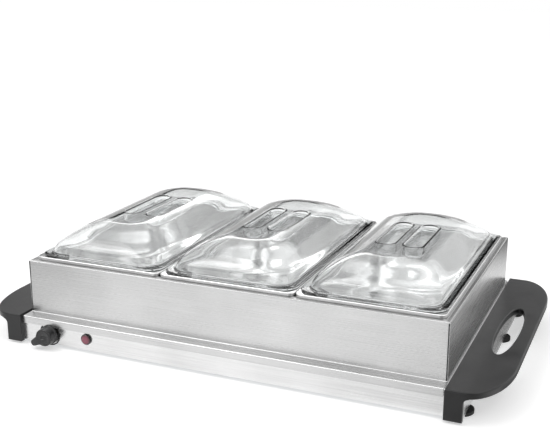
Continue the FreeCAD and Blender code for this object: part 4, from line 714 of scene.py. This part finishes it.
def folded_panel(corners, reach_at, along, side, face):
    """A folded sheet with rounded folds.

    Its middle line, in (distance out from the face, height), is moved half a sheet to either side, and each
    point of that section runs along the panel as far as its own reach."""
    middle = rounded_path(corners, [FOLD] * (len(corners) - 2), 5)
    way = np.gradient(middle, axis=0)
    way /= np.linalg.norm(way, axis=1)[:, None]
    across = np.stack([-way[:, 1], way[:, 0]], -1) * FRAME_SHEET / 2
    section = np.concatenate([middle + across, (middle - across)[::-1]])
    reach = reach_at(section)
    rows = []
    for share in (-1.0, -0.5, 0.0, 0.5, 1.0):
        out = side * (face + section[:, 0])
        run = share * reach
        x, y = (run, out) if along == "x" else (out, run)
        rows.append(np.stack([x, y, section[:, 1]], -1))
    count, points = len(section), np.concatenate(rows)
    faces = list(quads(5, count))
    pairs = np.arange(len(middle) - 1)
    near = np.stack([pairs, pairs + 1, count - 2 - pairs, count - 1 - pairs], -1)
    return points, faces + list(near) + list(near + 4 * count)


def long_reach(section):
    """The flange is mitred, the wall stops short of the corner, and the ledge and its lip run to the end.

    The small margins keep the folds' points with the flange and with the ledge."""
    mitre = FRAME_END + np.minimum(section[:, 0], 0)
    wall = (section[:, 1] < FRAME_TOP - FRAME_SHEET - 0.3) & (section[:, 1] > FRAME_FOOT + FRAME_SHEET + 0.6)
    return np.where(wall, FRAME_END - REVEAL, np.where(section[:, 1] > FRAME_TOP - 2, mitre, FRAME_END))


def short_reach(section):
    """The flange is mitred; the wall runs to the corner, but its foot stops inside the long panels."""
    mitre = FRAME_SIDE + np.minimum(section[:, 0], 0)
    foot = section[:, 1] < FRAME_FOOT + FRAME_SHEET
    wall = np.where(foot, FRAME_SIDE - FRAME_SHEET, FRAME_SIDE)
    return np.where(section[:, 1] > FRAME_TOP - FRAME_SHEET - 0.05, mitre, wall)


top_line, foot_line = FRAME_TOP - half_sheet, FRAME_FOOT + half_sheet
long_corners = [
    (-FLANGE, top_line),
    (-half_sheet, top_line),
    (-half_sheet, foot_line),
    (LEDGE - half_sheet, foot_line),
    (LEDGE - half_sheet, LIP_FOOT),
]
short_corners = [(-FLANGE, top_line), (-half_sheet, top_line), (-half_sheet, FRAME_FOOT)]
for name, side in (("front", -1), ("rear", 1)):
    shape = folded_panel(long_corners, long_reach, "x", side, FRAME_SIDE)
    piece(f"folded_{name}_panel", shape, frame_long, "frame", [f"{name}_panel"])
for name, side in (("left", -1), ("right", 1)):
    shape = folded_panel(short_corners, short_reach, "y", side, FRAME_END)
    piece(f"folded_{name}_panel", shape, frame_short, "frame", [f"{name}_panel"])


# Thermostat knob ----------------------------------------------------------------------------------

KNOB_AXIS_X, KNOB_AXIS_Z, KNOB_BACK, KNOB_DEPTH = -232.9, 17.5, -188.5, 14.0
BEAK_REACH, BEAK_WAY, BEAK_FOOT = 22.0, 210.0, 4.0
BODY_RADIUS, BEAK_ROOT, BEAK_TIP, FRONT_BEND, WAIST = 11.5, 7.6, 4.6, 2.0, 9.0
SPINDLE_BORE, BORE_DEPTH = 3.05, 11.1
BUSH_HOLLOW = ((SPINDLE_BORE, 4.0), (8.6, 4.0), (9.0, 3.6), (9.0, 0.4), (9.4, 0.0), (12.0, 0.0))
KNOB_SKIRT = (
    (12.4, 0.15), (12.5, 0.5), (12.5, 2.2), (12.3, 2.6), (11.7, 2.8), (11.5, 3.2), (11.5, BEAK_FOOT),
)
DISC_STEP = ((8.9, 0.0), (8.6, 0.15), (8.4, 0.6), (8.1, 0.7))
DIMPLE_HALF_LENGTH, DIMPLE_HALF_WIDTH, DIMPLE_TILT = 6.4, 2.5, 8.0
DIMPLE_DEPTH = ((1.0, 0.7), (0.94, 0.8), (0.8, 1.5), (0.5, 2.1), (0.2, 2.3))


def beaked(angle, body, reach, root, tip):
    """The knob's radius at angles from the beak: a round body joined softly to a tapering bar.

    The bar's end is at its reach and its sides close in from root to tip half-width; both are combined as the
    eighth root of a sum of eighth powers, which rounds its corners, and the body and the bar as a sixteenth
    root, which fills the corner between them."""
    ahead, aside = np.maximum(np.cos(angle), 1e-3), np.abs(np.sin(angle))
    taper = (root - tip) / reach
    bar = ((ahead / reach) ** 8 + ((aside + taper * ahead) / root) ** 8) ** (-1 / 8)
    bar = np.where(np.cos(angle) > 0, bar, 0.0)
    return (body**16 + bar**16) ** (1 / 16)


def knob_shape():
    """The knob along +Z from its back, as rings of (radius, height) about its axis.

    Behind are the spindle's bore and a hollow for the bush. In front follow a skirt, a waisted body whose
    beak starts over the skirt, a rounded front edge, a stepped disc and an oval dimple. The oval's radius at
    an angle is one over the root of (cosine / half length) squared plus (sine / half width) squared. The
    disc's and the dimple's numbers are depths under the front. The points of a ring are a degree apart round
    the beak and four degrees elsewhere."""
    way = math.radians(BEAK_WAY)
    fine, coarse = np.linspace(-50, 50, 101), np.linspace(50, 310, 66)[1:-1]
    angle = np.radians(np.concatenate([fine, coarse]))
    rings = []

    def ring(radius, height):
        radius, height = np.broadcast_to(radius, angle.shape), np.broadcast_to(height, angle.shape)
        rings.append(np.stack([radius * np.cos(angle + way), radius * np.sin(angle + way), height], -1))

    ring(SPINDLE_BORE, BORE_DEPTH)
    for radius, height in BUSH_HOLLOW + KNOB_SKIRT:
        ring(radius, height)
    for inset, rise in ((1.0, 0.0), (0.3, 0.1), (0.0, 0.4)):
        bar = BEAK_REACH - inset, BEAK_ROOT - inset, BEAK_TIP - inset
        ring(beaked(angle, BODY_RADIUS, *bar), BEAK_FOOT + rise)
    ring(beaked(angle, BODY_RADIUS - 0.1, BEAK_REACH - 0.3, BEAK_ROOT - 0.2, BEAK_TIP - 0.3), WAIST)
    for turn in np.linspace(0, math.pi / 2, 6):
        inset = FRONT_BEND * (1 - math.cos(turn))
        bar = BEAK_REACH - 0.5 - inset, BEAK_ROOT - 0.4 - inset, BEAK_TIP - 0.6 - inset
        ring(beaked(angle, BODY_RADIUS - 0.2 - inset, *bar), KNOB_DEPTH - FRONT_BEND * (1 - math.sin(turn)))
    for radius, drop in DISC_STEP:
        ring(radius, KNOB_DEPTH - drop)
    across = angle + way - math.radians(DIMPLE_TILT)
    ellipse = (np.cos(across) / DIMPLE_HALF_LENGTH) ** 2 + (np.sin(across) / DIMPLE_HALF_WIDTH) ** 2
    for share, drop in DIMPLE_DEPTH:
        ring(ellipse**-0.5 * share, KNOB_DEPTH - drop)
    columns = len(angle)
    ends = [np.arange(columns), (len(rings) - 1) * columns + np.arange(columns)]
    return np.concatenate(rings), list(quads(len(rings), columns)) + ends


knob_points, knob_faces = knob_shape()
knob_placed = facing_front(knob_points, KNOB_AXIS_X, KNOB_AXIS_Z, KNOB_BACK)
piece("beaked_knob", (knob_placed, knob_faces), knob_plastic, "control", ["knob"], 40)


# Dial dot and lamp lens ---------------------------------------------------------------------------

DOT_AWAY, DOT_TILT, DOT_RADIUS, PRINT_THICK, DOT_SIDES = 17.5, 127.0, 1.7, 0.06, 32

# The dot is a thin printed disc beside the dial, at its own angle and distance from the knob's axis.
dot_x = KNOB_AXIS_X + DOT_AWAY * math.cos(math.radians(DOT_TILT))
dot_z = KNOB_AXIS_Z + DOT_AWAY * math.sin(math.radians(DOT_TILT))
dot_points, dot_side = turned([(DOT_RADIUS, 0.0), (DOT_RADIUS, PRINT_THICK)], DOT_SIDES)
dot_faces = list(dot_side) + [np.arange(DOT_SIDES), DOT_SIDES + np.arange(DOT_SIDES)]
piece("dial_dot", (facing_front(dot_points, dot_x, dot_z), dot_faces), ink, "tray")

LENS_RADIUS, LENS_STEM, LENS_FOOT, LENS_SEAT, LENS_EDGE, LENS_BULGE = 6.3, 5.3, 0.4, 2.05, 2.6, 1.6

# The lens is spun from a stem in the ring's bore, a flange over the ring and a quarter of an ellipse.
lens_stem = [
    (0.0, LENS_FOOT),
    (LENS_STEM, LENS_FOOT),
    (LENS_STEM, LENS_SEAT),
    (LENS_RADIUS - 0.2, LENS_SEAT),
    (LENS_RADIUS - 0.05, LENS_SEAT + 0.1),
    (LENS_RADIUS, LENS_SEAT + 0.25),
]
lens_turn = np.linspace(0, math.pi / 2, 9)
lens_dome = np.stack([LENS_RADIUS * np.cos(lens_turn), LENS_EDGE + LENS_BULGE * np.sin(lens_turn)], -1)
lens_points, lens_faces = turned(np.concatenate([lens_stem, lens_dome]))
lens_placed = facing_front(lens_points, LAMP_AXIS_X, LAMP_AXIS_Z)
piece("domed_lamp_lens", (lens_placed, lens_faces), lamp_red, "tray", ["lamp_lens"])


# Studio -------------------------------------------------------------------------------------------

# Places are in metres here, the lens in millimetres and the angles in degrees.
CAMERA_PLACE, CAMERA_LENS, CAMERA_DOWN, CAMERA_LEFT = (0.480, -1.1395, 0.4983), 64.39, 15.90, 22.99
FLOOR_REACH, FLOOR_GLOW, SOFT_LIGHT = 6.0, 0.42, 0.68


def set_camera():
    """The camera stands in front and to the right, looking 23 degrees to the left and 16 degrees down."""
    lens = bpy.data.cameras.new("studio_camera")
    lens.sensor_width, lens.lens = 36.0, CAMERA_LENS
    camera = bpy.data.objects.new("studio_camera", lens)
    camera.location = CAMERA_PLACE
    camera.rotation_euler = (math.radians(90 - CAMERA_DOWN), 0, math.radians(CAMERA_LEFT))
    bpy.context.scene.collection.objects.link(camera)
    bpy.context.scene.camera = camera


def stage_sheet(name, low, high, material):
    """A stage rectangle between two corners, flat or upright, that isn't part of the object."""
    (x0, y0, z0), (x1, y1, z1) = low, high
    mesh = bpy.data.meshes.new(name)
    mesh.from_pydata([(x0, y0, z0), (x1, y0, z0), (x1, y1, z1), (x0, y1, z1)], [], [(0, 1, 2, 3)])
    mesh.materials.append(material)
    sheet = bpy.data.objects.new(name, mesh)
    bpy.context.scene.collection.objects.link(sheet)
    return sheet


def looked_at(tree):
    """One for light that is looked at, mirrored or seen through glass, and zero for all other light."""
    rays = add(tree, "ShaderNodeLightPath").outputs
    some = {0: rays["Is Camera Ray"], 1: rays["Is Glossy Ray"]}
    some = add(tree, "ShaderNodeMath", some, operation="MAXIMUM").outputs[0]
    every = {0: some, 1: rays["Is Transmission Ray"]}
    return add(tree, "ShaderNodeMath", every, operation="MAXIMUM").outputs[0]


def set_floor():
    """A pale floor: white where it is looked at or mirrored, and it keeps the object's shadow."""
    material, tree, _ = start_finish("studio_floor_paint")
    matt = add(tree, "ShaderNodeBsdfDiffuse", {"Color": linear("#f0f0f0")}).outputs[0]
    lift = add(tree, "ShaderNodeEmission", {"Color": linear("#ffffff"), "Strength": FLOOR_GLOW}).outputs[0]
    lifted = add(tree, "ShaderNodeAddShader", {0: matt, 1: lift}).outputs[0]
    paint = add(tree, "ShaderNodeMixShader", {0: looked_at(tree), 1: matt, 2: lifted})
    end_finish(tree, paint.outputs[0])
    stage_sheet("studio_floor", (-FLOOR_REACH, -FLOOR_REACH, 0), (FLOOR_REACH, FLOOR_REACH, 0), material)


def set_lamp(name, place, aim, size, power):
    """A soft square lamp at a place, turned towards a point."""
    light = bpy.data.lights.new(name, "AREA")
    light.shape, light.size, light.energy = "SQUARE", size, power
    lamp = bpy.data.objects.new(name, light)
    lamp.location = place
    away = np.array(place) - np.array(aim)
    flat = math.hypot(away[0], away[1])
    lamp.rotation_euler = (math.atan2(flat, away[2]), 0, math.atan2(away[0], -away[1]))
    bpy.context.scene.collection.objects.link(lamp)


def set_world():
    """White where it is seen or mirrored, and a plain soft light for everything else."""
    world = bpy.data.worlds.new("studio")
    world.use_nodes = True
    tree = world.node_tree
    tree.nodes.clear()
    white = add(tree, "ShaderNodeBackground", {"Color": linear("#ffffff"), "Strength": 1.0}).outputs[0]
    soft = add(tree, "ShaderNodeBackground", {"Color": linear("#ffffff"), "Strength": SOFT_LIGHT}).outputs[0]
    mixed = add(tree, "ShaderNodeMixShader", {0: looked_at(tree), 1: soft, 2: white}).outputs[0]
    output = add(tree, "ShaderNodeOutputWorld")
    tree.links.new(mixed, output.inputs["Surface"])
    bpy.context.scene.world = world


def set_card(name, low, high, tone, glow, fades):
    """A studio card that only shows in the shine of metal and plastic.

    A fade is (axis, centre, clear, full): the card is open nearer the centre than clear, covers beyond full,
    and changes smoothly between them. Where full is the smaller, it covers near the centre instead. The
    card's cover is the product of its fades."""
    material, tree, place = start_finish(name + "_cloth")
    part = add(tree, "ShaderNodeSeparateXYZ", {"Vector": place}).outputs
    cover = None
    for axis, centre, clear, full in fades:
        off = add(tree, "ShaderNodeMath", {0: part[axis], 1: centre}, operation="SUBTRACT").outputs[0]
        off = add(tree, "ShaderNodeMath", {0: off}, operation="ABSOLUTE").outputs[0]
        limits = {"Value": off, "From Min": clear, "From Max": full}
        amount = add(tree, "ShaderNodeMapRange", limits, interpolation_type="SMOOTHSTEP").outputs[0]
        if cover is not None:
            amount = add(tree, "ShaderNodeMath", {0: cover, 1: amount}, operation="MULTIPLY").outputs[0]
        cover = amount
    cloth = add(tree, "ShaderNodeEmission", {"Color": linear(tone), "Strength": glow}).outputs[0]
    open_part = add(tree, "ShaderNodeBsdfTransparent").outputs[0]
    end_finish(tree, add(tree, "ShaderNodeMixShader", {0: cover, 1: open_part, 2: cloth}).outputs[0])
    card = stage_sheet(name, low, high, material)
    card.visible_camera = card.visible_diffuse = card.visible_transmission = card.visible_shadow = False


# Each card's lowest and highest corner, tone, strength and fades.
CARDS = {
    # On the floor: they shade the frame's right side, its front towards the ends, and both caps.
    "right_floor_card": (
        (0.28, 0.25, 0.001), (2.4, 3.0, 0.001), "#282828", 1.0,
        [("Y", 0.0, 0.25, 0.6), ("X", 3.0, 2.72, 2.67)],
    ),
    "front_floor_card": (
        (-1.8, -1.9, 0.001), (1.5, -0.2, 0.001), "#9a9a9a", 1.0,
        [("X", -0.12, 0.12, 0.75)],
    ),
    "right_corner_card": (
        (0.2, -1.0, 0.002), (0.9, -0.3, 0.002), "#141414", 1.0,
        [("X", 0.55, 0.3, 0.14)],
    ),
    "left_corner_card": (
        (-1.5, -0.55, 0.002), (-0.55, 0.4, 0.002), "#2a2a2a", 1.0,
        [("X", -1.0, 0.42, 0.2)],
    ),
    "right_end_card": (
        (0.296, -0.12, 0.001), (0.42, 0.2, 0.001), "#8c8c8c", 1.0,
        [("X", 0.25, 0.17, 0.12)],
    ),
    # Overhead and behind: a bright strip on the tops, and the dark and bright bands along the hot plate.
    "overhead_strip": (
        (-1.6, -1.4, 2.2), (0.7, -0.3, 2.2), "#ffffff", 3.0,
        [("Y", -0.85, 0.55, 0.3)],
    ),
    "back_card": (
        (-3.2, 2.2, 0.5), (0.4, 2.2, 1.6), "#505050", 1.0,
        [("Z", 1.0, 0.43, 0.33), ("X", -1.4, 1.75, 1.5)],
    ),
    "back_strip": (
        (-3.2, 2.0, 0.5), (0.4, 2.0, 1.05), "#1a1a1a", 1.0,
        [("Z", 0.8, 0.2, 0.11), ("X", -1.4, 1.75, 1.5)],
    ),
    "back_glow": (
        (-2.2, 2.1, 0.8), (0.2, 2.1, 1.6), "#ffffff", 4.6,
        [("Z", 1.1, 0.3, 0.08), ("X", -1.15, 1.05, 0.1)],
    ),
    # In front: dark and bright bands in the pans' and the frame's front.
    "front_right_card": (
        (0.2, -2.55, 0.5), (2.8, -2.55, 2.0), "#181818", 1.0,
        [("Z", 1.25, 0.7, 0.5), ("X", 1.5, 1.25, 1.05)],
    ),
    "front_card": (
        (-3.4, -2.6, 0.95), (0.4, -2.6, 1.7), "#606060", 1.0,
        [("Z", 1.35, 0.4, 0.25), ("X", -1.7, 2.0, 1.2)],
    ),
    "front_softbox": (
        (-2.4, -2.6, 0.4), (0.2, -2.6, 0.95), "#ffffff", 1.7,
        [("Z", 0.68, 0.27, 0.15), ("X", -1.1, 1.3, 0.9)],
    ),
}

set_camera()
set_floor()
set_world()
set_lamp("key_lamp", (-1.1, -0.8, 2.0), (0, 0, 0.05), 1.4, 12)
set_lamp("fill_lamp", (1.5, -0.4, 1.6), (0, 0, 0.05), 1.2, 5)
for name, card in CARDS.items():
    set_card(name, *card)
bpy.context.scene.view_settings.view_transform = "Standard"
